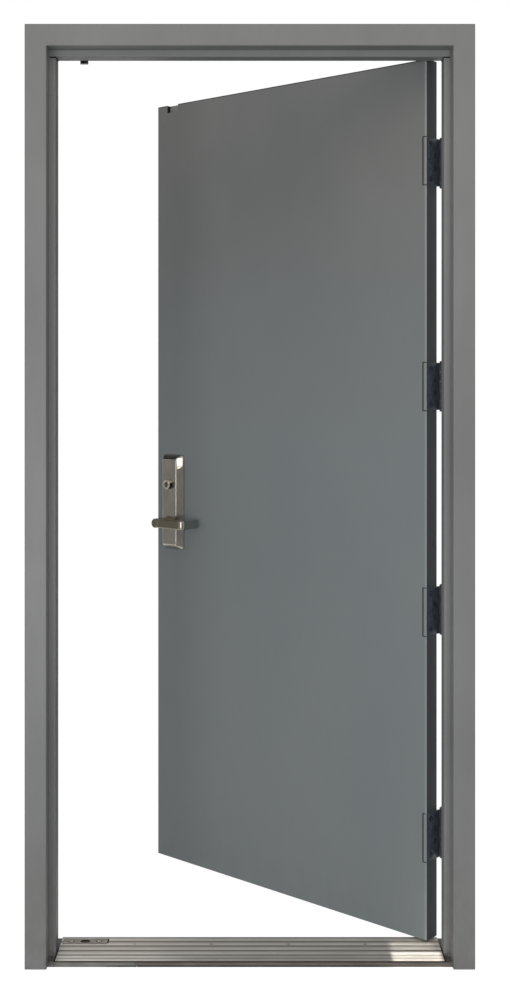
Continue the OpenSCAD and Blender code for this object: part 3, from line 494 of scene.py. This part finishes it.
# Under the oval hole a thin black oval is painted shade for the socket in the floor, and dirt fills
# a slit at the plate's end.
OVAL_R, OVAL_SHIFT, SOCKET_Z, SOCKET_T = 9.4 * mm, 3.5 * mm, 0.5 * mm, 0.4 * mm
oval = [(foot_middle.x + side * OVAL_SHIFT + OVAL_R * math.cos(a),
         foot_middle.y + OVAL_R * math.sin(a))
        for side, turn in ((1, -90), (-1, 90))
        for a in (math.radians(turn + 15 * k) for k in range(13))]
socket = bmesh.new()
closed_form(socket, [[(x, y, z) for x, y in oval] for z in (SOCKET_Z, SOCKET_Z + SOCKET_T)])
slab(socket, (foot_high.x - 0.2 * mm, foot_low.y + 3 * mm, foot_high.z - 0.6 * mm),
     (foot_high.x + 3.2 * mm, foot_high.y - 1 * mm, foot_high.z + 0.06 * mm))
bmesh.ops.recalc_face_normals(socket, faces=socket.faces)
socket_mesh = mesh_from(socket, "strike_socket", black_dirt_and_shade)
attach(as_object(socket_mesh, "strike_socket"), "frame")

rabbet_z = head_low.z + STOP_H
screws("top_strike_screws",
       [(Vector(((lug_low.x + lug_high.x) / 2 + s * HEAD_SCREWS, lug_low.y + 21 * mm, rabbet_z)),
         -UP) for s in (-1, 1)], 4.6 * mm, "frame", 6)
plate_low, plate_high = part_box("lock_strike")
plate_middle = ((plate_low.y + plate_high.y) / 2, (plate_low.z + plate_high.z) / 2)
screws("lock_strike_screws",
       [(Vector((plate_high.x, plate_middle[0], plate_middle[1] + s * JAMB_SCREWS)),
         Vector((1, 0, 0))) for s in (-1, 1)], 4.6 * mm, "frame", 7)


# --- The hinges ---------------------------------------------------------------------------
# Four full-mortise butt hinges of heavy steel, 114 mm high, with five knuckles and a button
# at each end of the pin. Dark blue-black satin, with four screws in each leaf.
hinge_steel, tree, bsdf, place = new_finish("dark_hinge_steel", IOR=1.5)
worn = spread(tree, noise(tree, place, 0.008, detail=5), 0.4, 0.75)
coat(tree, bsdf, blend(tree, worn, linear("#3b4149"), linear("#565e68")),
     spread(tree, worn, 0, 1, 0.36, 0.5))

swing = joints["door_swing"]
pin = Vector(swing["pos_m"])
swung = (Matrix.Translation(pin) @ Matrix.Rotation(math.radians(swing["range_deg"][0]), 4, "Z")
         @ Matrix.Translation(-pin))
shut = swung.inverted()


def shut_box(name):
    """Lowest and highest corner of a door node as it is when the door is shut."""
    corners = [shut @ v.co for v in nodes[name].data.vertices]
    return (Vector([min(c[i] for c in corners) for i in range(3)]),
            Vector([max(c[i] for c in corners) for i in range(3)]))


def edged_copy(name, finish, body, edge, steps=2, angle=35):
    """A copy of a CAD node with its triangles merged, its sharp edges eased and its curves
    smooth. It stands for that node."""
    mesh = nodes[name].data.copy()
    mesh.name = name + "_eased"
    mesh.materials.clear()
    mesh.materials.append(finish)
    bm = bmesh.new()
    bm.from_mesh(mesh)
    bmesh.ops.remove_doubles(bm, verts=bm.verts, dist=1e-6)
    bmesh.ops.dissolve_limit(bm, angle_limit=math.radians(0.5), verts=bm.verts, edges=bm.edges)
    for face in bm.faces:
        face.material_index = 0
    bm.to_mesh(mesh)
    bm.free()
    piece = as_object(mesh, name + "_eased")
    bevel = piece.modifiers.new("edges", "BEVEL")
    bevel.width = edge
    bevel.segments = steps
    bevel.limit_method = "ANGLE"
    bevel.angle_limit = math.radians(angle)
    bevel.use_clamp_overlap = True
    mesh = with_modifiers(piece)
    piece.modifiers.clear()
    piece.data = mesh
    mesh.shade_smooth()
    mesh.set_sharp_from_angle(angle=math.radians(angle))
    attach(piece, body)
    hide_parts(name)


for i in (1, 2, 3, 4):
    edged_copy("hinge_%d_frame_leaf" % i, hinge_steel, "frame", 0.5 * mm)
    edged_copy("hinge_%d_door_leaf" % i, hinge_steel, "door", 0.5 * mm)
    edged_copy("hinge_%d_pin" % i, hinge_steel, "frame", 1.2 * mm, 4)

# Height above the hinge's middle and distance from the leaf's edge, in millimetres.
LEAF_SCREWS = ((43, 12), (16, 32), (-16, 32), (-43, 12))
LEAF_FACE = 2.5 * mm
frame_spots, door_spots = [], []
for i in (1, 2, 3, 4):
    low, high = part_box("hinge_%d_frame_leaf" % i)
    middle = (low.z + high.z) / 2
    frame_spots += [(Vector((pin.x + LEAF_FACE, low.y + d * mm, middle + z * mm)),
                     Vector((-1, 0, 0))) for z, d in LEAF_SCREWS]
    low, high = shut_box("hinge_%d_door_leaf" % i)
    door_spots += [(swung @ Vector((pin.x - LEAF_FACE, low.y + d * mm, middle + z * mm)),
                    swung.to_3x3() @ Vector((1, 0, 0))) for z, d in LEAF_SCREWS]
screws("hinge_frame_screws", frame_spots, 5.3 * mm, "frame", 11, finish=hinge_steel)
screws("hinge_door_screws", door_spots, 5.3 * mm, "door", 12, finish=hinge_steel)


# --- The door leaf ------------------------------------------------------------------------
# Two 14 gauge steel skins with a seam along each edge, closed at the top and foot by
# channels, stiffened inside, and painted a slightly cooler satin grey than the frame.
skin_low, skin_high = shut_box("push_skin")


def as_shut(tree, place):
    """The coordinates a door piece has when the door is shut, as x, y and z."""
    turned = add(tree, "ShaderNodeMapping", {"Vector": place, "Location": shut.to_translation(),
                 "Rotation": shut.to_euler()}).outputs[0]
    return add(tree, "ShaderNodeSeparateXYZ", {0: turned}).outputs


def door_edges(tree, place, paint):
    """Darker along the top edge, dirt along the free edge, a painted highlight on the hinge
    corner, painted shade on the hinge edge, and painted cool light, lighter and bluer, on the
    lower part of the door."""
    across, depth, height = as_shut(tree, place)
    smear = spread(tree, noise(tree, place, 0.012, (1, 1, 3), 4), 0.3, 0.6, 0.6, 1)
    top = spread(tree, height, skin_high.z - 3.2 * mm, skin_high.z - 1.8 * mm)
    free = spread(tree, across, skin_low.x + 3 * mm, skin_low.x + 7 * mm, 1, 0)
    edge_x, face_y = skin_high.x, skin_low.y
    # Painted highlight: a pale strip on the push face beside the hinge corner's bend.
    corner = product(tree, spread(tree, across, edge_x - 5.5 * mm, edge_x - 4 * mm),
                     spread(tree, depth, face_y + 1.0 * mm, face_y + 2.0 * mm, 1, 0))
    # Painted shade: the hinge edge beside the corner is darker.
    hinge_edge_shade = product(tree, spread(tree, across, edge_x - 1.2 * mm, edge_x - 0.4 * mm),
                           spread(tree, depth, face_y + 1.5 * mm, face_y + 2.5 * mm))
    paint = blend(tree, product(tree, top, smear), paint, linear("#2b2b2a"))
    paint = blend(tree, product(tree, free, product(tree, smear, 0.6)), paint, linear("#3b3c3b"))
    paint = blend(tree, product(tree, corner, 0.6), paint, linear("#9a9d9f"))
    # Painted cool light: the lower part of the door is lighter and bluer.
    painted_cool_light = spread(tree, height, 1.9, 1.2)
    paint = blend(tree, product(tree, painted_cool_light, 0.5), paint, linear("#7a8488"))
    return blend(tree, hinge_edge_shade, paint, linear("#474a4e"))


door_paint = satin_enamel("door_paint", "#747574", "#6d6f6f", 0.2, door_edges)
dress(door_paint, "push_skin", "pull_skin", "top_channel", "bottom_channel", "hinge_fillers")
dress(primed_steel, "lock_edge_channel")

# The channel inside the hinge edge shows only through the gaps round the fillers, and is painted
# near black: painted shade for those gaps.
gap_shade_black, tree, bsdf, place = new_finish("gap_shade_black", Roughness=0.8)
coat(tree, bsdf, blend(tree, noise(tree, place, 0.01), linear("#121212"), linear("#1e1e1e")))
dress(gap_shade_black, "hinge_edge_channel")

# A black strip fills the joint round each filler, beside the hinge pockets: painted shade for the
# gap.
SHADE_STRIP_W, SHADE_STRIP_CORNER, SHADE_STRIP_OVER = 2.4 * mm, 1.5 * mm, 2 * mm
filler_x, joint_x = skin_high.x - 8.6 * mm, skin_high.x - 12 * mm
y0, y1 = skin_low.y - 0.08 * mm, skin_low.y + 1.2 * mm
joint_shade = bmesh.new()
for i in (1, 2, 3, 4):
    leaf_low, leaf_high = shut_box("hinge_%d_door_leaf" % i)
    z0, z1 = leaf_low.z - SHADE_STRIP_OVER, leaf_high.z + SHADE_STRIP_OVER
    slab(joint_shade, (joint_x, y0, z0 + SHADE_STRIP_CORNER), (filler_x, y1, z1 - SHADE_STRIP_CORNER))
    for low, high in ((z0, z0 + SHADE_STRIP_W), (z1 - SHADE_STRIP_W, z1)):
        slab(joint_shade, (joint_x + SHADE_STRIP_CORNER, y0 + 0.02 * mm, low),
             (skin_high.x - 2.6 * mm, y1, high))
bmesh.ops.transform(joint_shade, matrix=swung, verts=joint_shade.verts)
joint_shade_mesh = mesh_from(joint_shade, "filler_joints", gap_shade_black)
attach(as_object(joint_shade_mesh, "filler_joints"), "door")

core_board, tree, bsdf, place = new_finish("core_board", Roughness=0.85)
cells = spread(tree, noise(tree, place, 0.004, detail=4), 0.3, 0.7)
coat(tree, bsdf, blend(tree, cells, linear("#c9bf9f"), linear("#dcd4bd")))
dress(core_board, "core")


# --- The lock -----------------------------------------------------------------------------
# A mortise lock case inside the door, with its stainless front let into the lock edge, a
# bevelled latch bolt drawn back flush, and the top latch and bottom bolt at the rods' ends.
dress(primed_steel, "lock_case", "spindle")
dress(satin_stainless, "bottom_bolt", "lock_front", "latch_bolt")

# The top latch is painted with the door; on the free side of the slot that its hook swings in it is
# painted black, painted shade in the slot.
latch_paint, tree, bsdf, place = new_finish("painted_latch", IOR=1.5, Roughness=0.55)
across = as_shut(tree, place)[0]
POCKET_SIDE = shut_box("top_latch")[0].x + 10.45 * mm
patches = spread(tree, noise(tree, place, 5 * mm, detail=4), 0.3, 0.7)
grey = blend(tree, patches, linear("#7a7b79"), linear("#868785"))
slot_shade = spread(tree, across, POCKET_SIDE + 0.4 * mm, POCKET_SIDE + 0.8 * mm, 1, 0)
coat(tree, bsdf, blend(tree, slot_shade, grey, linear("#020202")))
dress(latch_paint, "top_latch")

front_low, front_high = shut_box("lock_front")
BEVEL_SLOPE, FRONT_SCREWS = 0.063, 92 * mm
front_out = swung.to_3x3() @ Vector((-1, -BEVEL_SLOPE, 0)).normalized()
front_middle = (front_low + front_high) / 2
screws("lock_front_screws",
       [(swung @ Vector((front_low.x + 0.85 * mm, front_middle.y,
                         front_middle.z + s * FRONT_SCREWS)), front_out) for s in (-1, 1)],
       4.0 * mm, "door", 15)


# --- The escutcheons ----------------------------------------------------------------------
# Cast and plated plates, one on each side of the door, with four sloping sides and softened
# edges. Satin nickel over brass, brushed upright, warm grey, darker where hands don't rub.
def nickel(name, light, mid, dark, stretch, low_rough, tarnish_and_painted_light=None):
    """Satin nickel brushed along its long side, warmer and darker where it is handled."""
    finish, tree, bsdf, place = new_finish(name, Metallic=1.0)
    brushed = spread(tree, noise(tree, place, 0.0008, stretch, 3), 0.3, 0.7)
    handled = spread(tree, noise(tree, place, 0.03, (1, 1, 2), 4), 0.35, 0.7)
    metal = blend(tree, brushed, linear(mid), linear(light))
    metal = blend(tree, product(tree, handled, 0.5), metal, linear(dark))
    if tarnish_and_painted_light:
        metal = tarnish_and_painted_light(tree, place, metal)
    coat(tree, bsdf, metal, spread(tree, brushed, 0, 1, low_rough, low_rough + 0.1))
    grain = add(tree, "ShaderNodeBump", {"Height": brushed, "Strength": 0.1, "Distance": 0.0002})
    tree.links.new(grain.outputs[0], bsdf.inputs["Normal"])
    return finish


satin_nickel = nickel("satin_nickel", "#b0aba2", "#a09b92", "#8f897f", (1, 1, 40), 0.17)


def loft(loops, name):
    """A closed mesh through loops of equal length."""
    bm = bmesh.new()
    closed_form(bm, loops)
    bmesh.ops.recalc_face_normals(bm, faces=bm.faces)
    mesh = bpy.data.meshes.new(name)
    bm.to_mesh(mesh)
    bm.free()
    return mesh


def rounded_rectangle(w, h, r, z, steps=6):
    """Points round a w by h rectangle at height z, its corners rounded by r."""
    points = []
    for cx, cy, start in ((1, 1, 0), (-1, 1, 90), (-1, -1, 180), (1, -1, 270)):
        for k in range(steps + 1):
            a = math.radians(start + 90 * k / steps)
            points.append((cx * (w / 2 - r) + r * math.cos(a),
                           cy * (h / 2 - r) + r * math.sin(a), z))
    return points


def ring(r, z, count=64):
    """Points round a circle at height z."""
    return [(r * math.cos(2 * math.pi * k / count), r * math.sin(2 * math.pi * k / count), z)
            for k in range(count)]


def shaped(mesh, others, operation):
    """The mesh with other meshes joined to it or cut out of it."""
    base = as_object(mesh, "base")
    tools = [as_object(other, "tool") for other in others]
    for tool in tools:
        step = base.modifiers.new("step", "BOOLEAN")
        step.operation = operation
        step.solver = "EXACT"
        step.object = tool
    made = with_modifiers(base)
    for used in tools + [base]:
        bpy.data.objects.remove(used)
    return made


def finished(mesh, name, matrix, finish, body, stands_for, angle=30):
    """Puts a mesh in its place for good and makes it the piece that stands for a node."""
    mesh.transform(matrix)
    if matrix.determinant() < 0:
        mesh.flip_normals()
    mesh.materials.clear()
    mesh.materials.append(finish)
    mesh.shade_smooth()
    mesh.set_sharp_from_angle(angle=math.radians(angle))
    piece = as_object(mesh, name)
    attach(piece, body)
    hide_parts(stands_for)


lever_at = shut @ Vector(joints["lever_turn"]["pos_m"])
trim_low, trim_high = shut_box("outside_escutcheon")
push_y, trim_z = trim_high.y, (trim_low.z + trim_high.z) / 2
TRIM_W, TRIM_H = trim_high.x - trim_low.x, trim_high.z - trim_low.z
TRIM_D = trim_high.y - trim_low.y
TRIM_SLOPE, TRIM_LIP, TRIM_CORNER, TRIM_EDGE = 13.5 * mm, 4 * mm, 9 * mm, 2.5 * mm
NECK_HOLE, CYLINDER_R = 13.4 * mm, 13.4 * mm
cylinder_z = trim_z + 49.5 * mm
pull_mirror = (Matrix.Translation((0, lever_at.y, 0)) @ Matrix.Scale(-1, 4, (0, 1, 0))
               @ Matrix.Translation((0, -lever_at.y, 0)))


def on_push_face(z):
    """Stands a piece drawn with +Z outwards on the push face at height z, on the trim's line."""
    return Matrix.Translation((lever_at.x, push_y, z)) @ Matrix.Rotation(math.radians(90), 4, "X")


def escutcheon_mesh():
    """A lip, an eased edge, a slope, another eased edge and a flat front, row by row."""
    run = math.hypot(TRIM_SLOPE, TRIM_D - TRIM_LIP)
    ease_in, ease_up = TRIM_EDGE * TRIM_SLOPE / run, TRIM_EDGE * (TRIM_D - TRIM_LIP) / run
    lip = TRIM_EDGE * 0.6
    rows = [(0, 0), (0, TRIM_LIP - lip)]
    for k in range(1, 5):
        t = k / 5
        rows.append((ease_in * t * t,
                     TRIM_LIP - lip * (1 - t) * (1 - t) + ease_up * t * t * 0.9))
    rows += [(ease_in, TRIM_LIP + ease_up), (TRIM_SLOPE - ease_in, TRIM_D - ease_up)]
    for k in range(1, 5):
        t = k / 5
        rows.append((TRIM_SLOPE - ease_in * (1 - t) * (1 - t) + TRIM_EDGE * 0.7 * t * t,
                     TRIM_D - ease_up * (1 - t) * (1 - t)))
    rows.append((TRIM_SLOPE + TRIM_EDGE * 0.7, TRIM_D))
    loops = [rounded_rectangle(TRIM_W - 2 * inset, TRIM_H - 2 * inset,
                               max(TRIM_CORNER - inset * 0.9, 1.2 * mm), z) for inset, z in rows]
    return loft(loops, "escutcheon")


def trim_hole(r, z):
    hole = loft([ring(r, -1 * mm), ring(r, TRIM_D + 1 * mm)], "hole")
    hole.transform(Matrix.Translation((0, z - trim_z, 0)))
    return hole


neck_hole = trim_hole(NECK_HOLE, lever_at.z)
cylinder_hole = trim_hole(CYLINDER_R + 0.1 * mm, cylinder_z)
outside = shaped(escutcheon_mesh(), [neck_hole, cylinder_hole], "DIFFERENCE")
finished(outside, "outside_escutcheon_plate", swung @ on_push_face(trim_z), satin_nickel, "door",
         "outside_escutcheon")
inside = shaped(escutcheon_mesh(), [trim_hole(NECK_HOLE, lever_at.z)], "DIFFERENCE")
finished(inside, "inside_escutcheon_plate", swung @ pull_mirror @ on_push_face(trim_z),
         satin_nickel, "door", "inside_escutcheon")
pull_out = swung.to_3x3() @ Vector((0, 1, 0))
pull_face = 2 * lever_at.y - push_y + TRIM_D
TRIM_SCREWS = 98 * mm
screws("inside_trim_screws",
       [(swung @ Vector((lever_at.x, pull_face, trim_z + s * TRIM_SCREWS)), pull_out)
        for s in (-1, 1)], 4.6 * mm, "door", 17)


# --- The key cylinder and the thumbturn ------------------------------------------------------
# A turned brass cylinder, plated like the trim, with a raised ring round the plug and an
# upright keyway. Inside, a round rose carries a flat grip that throws the bolt.
top = push_y - shut_box("key_cylinder")[0].y
plug_r = CYLINDER_R * 0.52
TURNED_SIDES, KEY_TURN = 96, -20
# Radius and height of each turned step, from the foot in over the ring to the plug's middle.
rows = [(CYLINDER_R, -10 * mm), (CYLINDER_R, top - 1.6 * mm),
        (CYLINDER_R - 0.25 * mm, top - 0.9 * mm), (CYLINDER_R - 0.8 * mm, top - 0.25 * mm),
        (CYLINDER_R - 1.6 * mm, top), (plug_r + 2.4 * mm, top),
        (plug_r + 1.2 * mm, top - 0.5 * mm), (plug_r + 0.6 * mm, top - 1.4 * mm),
        (plug_r, top - 1.5 * mm), (plug_r, top - 1.2 * mm),
        (plug_r - 0.4 * mm, top - 0.9 * mm), (0.4 * mm, top - 0.9 * mm)]
cylinder = loft([ring(r, z, TURNED_SIDES) for r, z in rows], "cylinder")
# The keyway's outline, in millimetres from the plug's middle.
KEYWAY = ((-1.3, -5.4), (1.3, -5.4), (1.3, -1.4), (0.5, -0.6), (1.3, 0.2), (1.3, 4.8),
          (0.5, 5.4), (-1.3, 5.4), (-1.3, 1.4), (-0.5, 0.6), (-1.3, -0.2))
keyway = loft([[(x * mm, y * mm, z) for x, y in KEYWAY] for z in (top - 7 * mm, top + 1 * mm)],
              "keyway")
keyway.transform(Matrix.Rotation(math.radians(KEY_TURN), 4, "Z"))


def cylinder_tarnish_and_shade(tree, place, metal):
    """Round the plug the plating has gone dark; the underside of the body is painted near black,
    painted shade.
    """
    across, depth, height = as_shut(tree, place)
    on_side = spread(tree, depth, push_y - top + 1.2 * mm, push_y - top + 2.2 * mm)
    low_half = spread(tree, height, cylinder_z + 4 * mm, cylinder_z + 7 * mm, 1, 0)
    underside_shade = product(tree, on_side, low_half)
    out = add(tree, "ShaderNodeCombineXYZ", {0: across, 2: height}).outputs[0]
    axis = (lever_at.x, 0, cylinder_z)
    radius = add(tree, "ShaderNodeVectorMath", {0: out, 1: axis},
                 operation="DISTANCE").outputs["Value"]
    plug = spread(tree, radius, plug_r + 0.6 * mm, plug_r + 1.6 * mm, 1, 0)
    metal = blend(tree, product(tree, plug, 0.75), metal, linear("#57534a"))
    return blend(tree, product(tree, underside_shade, 0.93), metal, linear("#15130f"))


bright_nickel = nickel("bright_nickel", "#d6d1c6", "#c3bdb0", "#a39d90", (1, 1, 1), 0.12,
                       cylinder_tarnish_and_shade)
finished(shaped(cylinder, [keyway], "DIFFERENCE"), "key_cylinder_turned",
         swung @ on_push_face(cylinder_z), bright_nickel, "door", "key_cylinder")
edged_copy("thumbturn", satin_nickel, "door", 0.6 * mm, 3, 40)


# --- The levers ---------------------------------------------------------------------------
# Solid cast levers, plated like the trim: a round hub on a collar, and a flat arm with eased
# edges that turns back to the door at its end. A square spindle joins the two.
lever_low, lever_high = shut_box("outside_lever")
LEVER_OUT = push_y - lever_low.y
LEVER_L = lever_high.x - lever_at.x
COLLAR_R = lever_at.x - lever_low.x
ARM_H, ARM_T, ARM_EDGE, ARM_BEND, RETURN_GAP = 23 * mm, 12.5 * mm, 3 * mm, 2.5 * mm, 12.7 * mm
HUB_R, COLLAR_T, HUB_FOOT = 12.9 * mm, 4 * mm, 11.6 * mm


def grip_tarnish_and_reflection(tree, place, metal):
    """The arm's front is tarnished olive by hands; the turned-back end is painted lighter and
    cooler, a painted reflection of the door's paint.
    """
    across, depth, _ = as_shut(tree, place)
    gripped = spread(tree, across, lever_high.x - 17 * mm, lever_high.x - 13 * mm, 1, 0)
    return_reflection = spread(tree, depth, lever_low.y + 15 * mm, lever_low.y + 19 * mm)
    metal = blend(tree, product(tree, return_reflection, 0.8), metal, linear("#a9b0ab"))
    return blend(tree, gripped, metal, linear("#7d7868"))


worn_nickel = nickel("worn_satin_nickel", "#aca69a", "#9b9589", "#8a8375", (40, 40, 1), 0.14,
                     grip_tarnish_and_reflection)


def lever_mesh():
    """The arm's section swept out from the hub, round the bend and back, joined to the hub."""
    front = LEVER_OUT - 1 * mm
    bend = ARM_BEND + ARM_T
    bend_steps, end_steps, end_ease = 16, 5, 2 * mm
    outline = rounded_rectangle(ARM_T, ARM_H, ARM_EDGE, 0, 5)
    stations = [(x, front - ARM_T / 2, 0) for x in (0, (LEVER_L - bend) * 0.5, LEVER_L - bend)]
    for k in range(1, bend_steps + 1):
        a = 90 * k / bend_steps
        r = bend - ARM_T / 2
        stations.append((LEVER_L - bend + r * math.sin(math.radians(a)),
                         front - bend + r * math.cos(math.radians(a)), a))
    stations.append((LEVER_L - ARM_T / 2, RETURN_GAP + end_ease, 90))
    loops = []
    for x, z, a in stations:
        c, s = math.cos(math.radians(a)), math.sin(math.radians(a))
        loops.append([(x + u * s, v, z + u * c) for u, v, _ in outline])
    x, z, _ = stations[-1]
    for k in range(1, end_steps + 1):
        t = math.radians(90 * k / end_steps)
        shrink = end_ease * (1 - math.cos(t))
        loops.append([(x + u * (1 - 2 * shrink / ARM_T), v * (1 - 2 * shrink / ARM_H),
                       z - end_ease * math.sin(t)) for u, v, _ in outline])
    arm = loft(loops, "arm")
    collar = TRIM_D + 0.4 * mm
    rim = collar + COLLAR_T
    rows = [(HUB_R, collar - HUB_FOOT), (HUB_R, collar), (COLLAR_R - 0.4 * mm, collar),
            (COLLAR_R, collar + 0.4 * mm), (COLLAR_R, rim - 1.2 * mm),
            (COLLAR_R - 0.35 * mm, rim - 0.35 * mm), (COLLAR_R - 1.2 * mm, rim),
            (HUB_R + 0.6 * mm, rim), (HUB_R, rim + 0.6 * mm)]
    for k in range(7):
        a = math.radians(90 * k / 6)
        rows.append((HUB_R - ARM_EDGE * (1 - math.cos(a)),
                     LEVER_OUT - ARM_EDGE * (1 - math.sin(a))))
    hub = loft([ring(r, z, TURNED_SIDES) for r, z in rows], "hub")
    return shaped(hub, [arm], "UNION")


finished(lever_mesh(), "outside_lever_cast", swung @ on_push_face(lever_at.z), worn_nickel, "lever",
         "outside_lever", 28)
finished(lever_mesh(), "inside_lever_cast", swung @ pull_mirror @ on_push_face(lever_at.z),
         worn_nickel, "lever", "inside_lever", 28)


# --- The studio ---------------------------------------------------------------------------
# A pale floor and backdrop, two soft lights in front and a weaker one above, small lamps for
# patches of sun, cards to be mirrored in the metal, and a camera at standing height straight
# in front of the opening.
def seen_plainly(tree):
    """1 for rays from the camera or off or through a shiny surface, 0 for light that falls."""
    path = add(tree, "ShaderNodeLightPath").outputs
    seen = add(tree, "ShaderNodeMath", {0: path["Is Camera Ray"], 1: path["Is Glossy Ray"]},
               operation="ADD").outputs[0]
    return add(tree, "ShaderNodeMath", {0: seen, 1: path["Is Transmission Ray"]},
               operation="ADD", use_clamp=True).outputs[0]


world = bpy.data.worlds.new("studio")
bpy.context.scene.world = world
world.use_nodes = True
tree = world.node_tree
tree.nodes.clear()
fill = add(tree, "ShaderNodeBackground", {0: linear("#ffffff"), 1: 0.45})
backdrop = add(tree, "ShaderNodeBackground", {0: linear("#ffffff"), 1: 1.0})
mixed = add(tree, "ShaderNodeMixShader", {0: seen_plainly(tree), 1: fill.outputs[0],
            2: backdrop.outputs[0]})
add(tree, "ShaderNodeOutputWorld", {0: mixed.outputs[0]})

floor = as_object(bpy.data.meshes.new("floor"), "floor")
floor.data.from_pydata([(-9, -9, 0), (9, -9, 0), (9, 9, 0), (-9, 9, 0)], [], [(0, 1, 2, 3)])
studio_floor = bpy.data.materials.new("studio_floor")
studio_floor.use_nodes = True
tree = studio_floor.node_tree
tree.nodes.clear()
lit = add(tree, "ShaderNodeBsdfDiffuse", {0: linear("#8a8a8a")})
glow = add(tree, "ShaderNodeEmission", {0: linear("#ffffff"), 1: 1.4})
# Part of what is seen stays lit by the lamps, so that the object's shadow shows.
share = product(tree, seen_plainly(tree), 0.7)
mixed = add(tree, "ShaderNodeMixShader", {0: share, 1: lit.outputs[0], 2: glow.outputs[0]})
add(tree, "ShaderNodeOutputMaterial", {0: mixed.outputs[0]})
floor.data.materials.append(studio_floor)
floor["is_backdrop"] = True


def soft_light(name, place, aim, width, height, power, colour="#ffffff"):
    lamp = bpy.data.lights.new(name, "AREA")
    lamp.shape = "RECTANGLE"
    lamp.size, lamp.size_y, lamp.energy = width, height, power
    lamp.color = linear(colour)[:3]
    holder = as_object(lamp, name)
    holder.location = place
    holder.rotation_euler = (Vector(aim) - Vector(place)).to_track_quat("-Z", "Y").to_euler()
    holder.visible_camera = False
    return holder


soft_light("key", (-1.55, -3.2, 0.8), (0, 0, 0.9), 1.6, 2.0, 53)
front = soft_light("front", (0.6, -3.7, 1.2), (0, 0, 1.0), 1.4, 1.8, 46)
front.visible_glossy = False
soft_light("top", (0.3, -2.2, 3.6), (0, 0, 1.2), 2.4, 1.4, 13, "#fff2e2")

# Low sun slips past the door: a narrow patch on the hinge end of the threshold, with a paler
# streak behind it. A small gleam falls on the top of the trim's sloping side.
def patch(name, low, high, height, power):
    """Light straight down on the rectangle from low to high, with edges as sharp as sunlight's."""
    middle = [(a + b) / 2 for a, b in zip(low, high)]
    lamp = soft_light(name, (*middle, height), (*middle, 0), high[0] - low[0],
                      high[1] - low[1], power, "#fffaf0")
    lamp.rotation_euler = (0, 0, 0)
    lamp.data.spread = math.radians(5)


PATCH_X, STREAK_X = (0.333, 0.447), (0.335, 0.437)
patch("threshold_patch", (PATCH_X[0], threshold_low.y - 6 * mm),
      (PATCH_X[1], threshold_low.y + 50 * mm), 0.20, 0.068)
patch("threshold_streak", (STREAK_X[0], threshold_low.y + 62 * mm),
      (STREAK_X[1], threshold_low.y + 112 * mm), 0.35, 0.017)

beam = bpy.data.lights.new("trim_gleam", "SPOT")
beam.energy, beam.spot_size, beam.spot_blend = 6.0, math.radians(2.0), 0.3
beam.shadow_soft_size = 0.02
holder = as_object(beam, "trim_gleam")
gleam_at, gleam_from = Vector((-0.1954, 0.5962, 1.1375)), Vector((0.263, -0.965, -0.060))
GLEAM_REACH, GLEAM_RAISED = 0.5, 0.022
holder.location = gleam_at + GLEAM_REACH * gleam_from + GLEAM_RAISED * UP
holder.rotation_euler = (gleam_at - holder.location).to_track_quat("-Z", "Y").to_euler()
holder.visible_camera = False


def card(name, middle, facing, width, height, brightness, tint="#ffffff"):
    """A grey card that only shows in reflections, as round a polished piece in a studio."""
    sheet = as_object(bpy.data.meshes.new(name), name)
    x, y = width / 2, height / 2
    sheet.data.from_pydata([(-x, -y, 0), (x, -y, 0), (x, y, 0), (-x, y, 0)], [], [(0, 1, 2, 3)])
    turn = Vector(facing).to_track_quat("Z", "Y").to_matrix().to_4x4()
    sheet.data.transform(Matrix.Translation(middle) @ turn)
    paper = bpy.data.materials.new(name + "_paper")
    paper.use_nodes = True
    tree = paper.node_tree
    tree.nodes.clear()
    dull = add(tree, "ShaderNodeEmission", {0: linear(tint), 1: brightness})
    add(tree, "ShaderNodeOutputMaterial", {0: dull.outputs[0]})
    sheet.data.materials.append(paper)
    sheet.visible_camera = sheet.visible_diffuse = sheet.visible_shadow = False
    sheet.visible_transmission = sheet.visible_volume_scatter = False
    sheet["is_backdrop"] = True


card("left_card", (-2.8, -1.4, 1.2), (1, 0, 0), 6.4, 2.4, 0.42)
card("front_card", (0.4, -4.6, 1.2), (0, 1, 0), 6.4, 2.4, 0.35)
card("floor_card", (0.2, -3.2, 0.03), (0, 0, 1), 5.0, 2.6, 0.24, "#e2ebf8")
card("ceiling_card", (-0.6, 2.2, 2.9), (0, 0, -1), 4.0, 3.2, 0.05)

camera = bpy.data.cameras.new("camera")
camera.sensor_width = 36
camera.lens = 51.43
camera.shift_x, camera.shift_y = 0.0058, -0.1276
camera.clip_start, camera.clip_end = 0.05, 60
viewer = as_object(camera, "camera")
viewer.location = (-1.6 * mm, -3371.6 * mm, 1378.9 * mm)
viewer.rotation_euler = (math.radians(90), 0, 0)
bpy.context.scene.camera = viewer
bpy.context.scene.view_settings.view_transform = "Standard"

low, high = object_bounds()
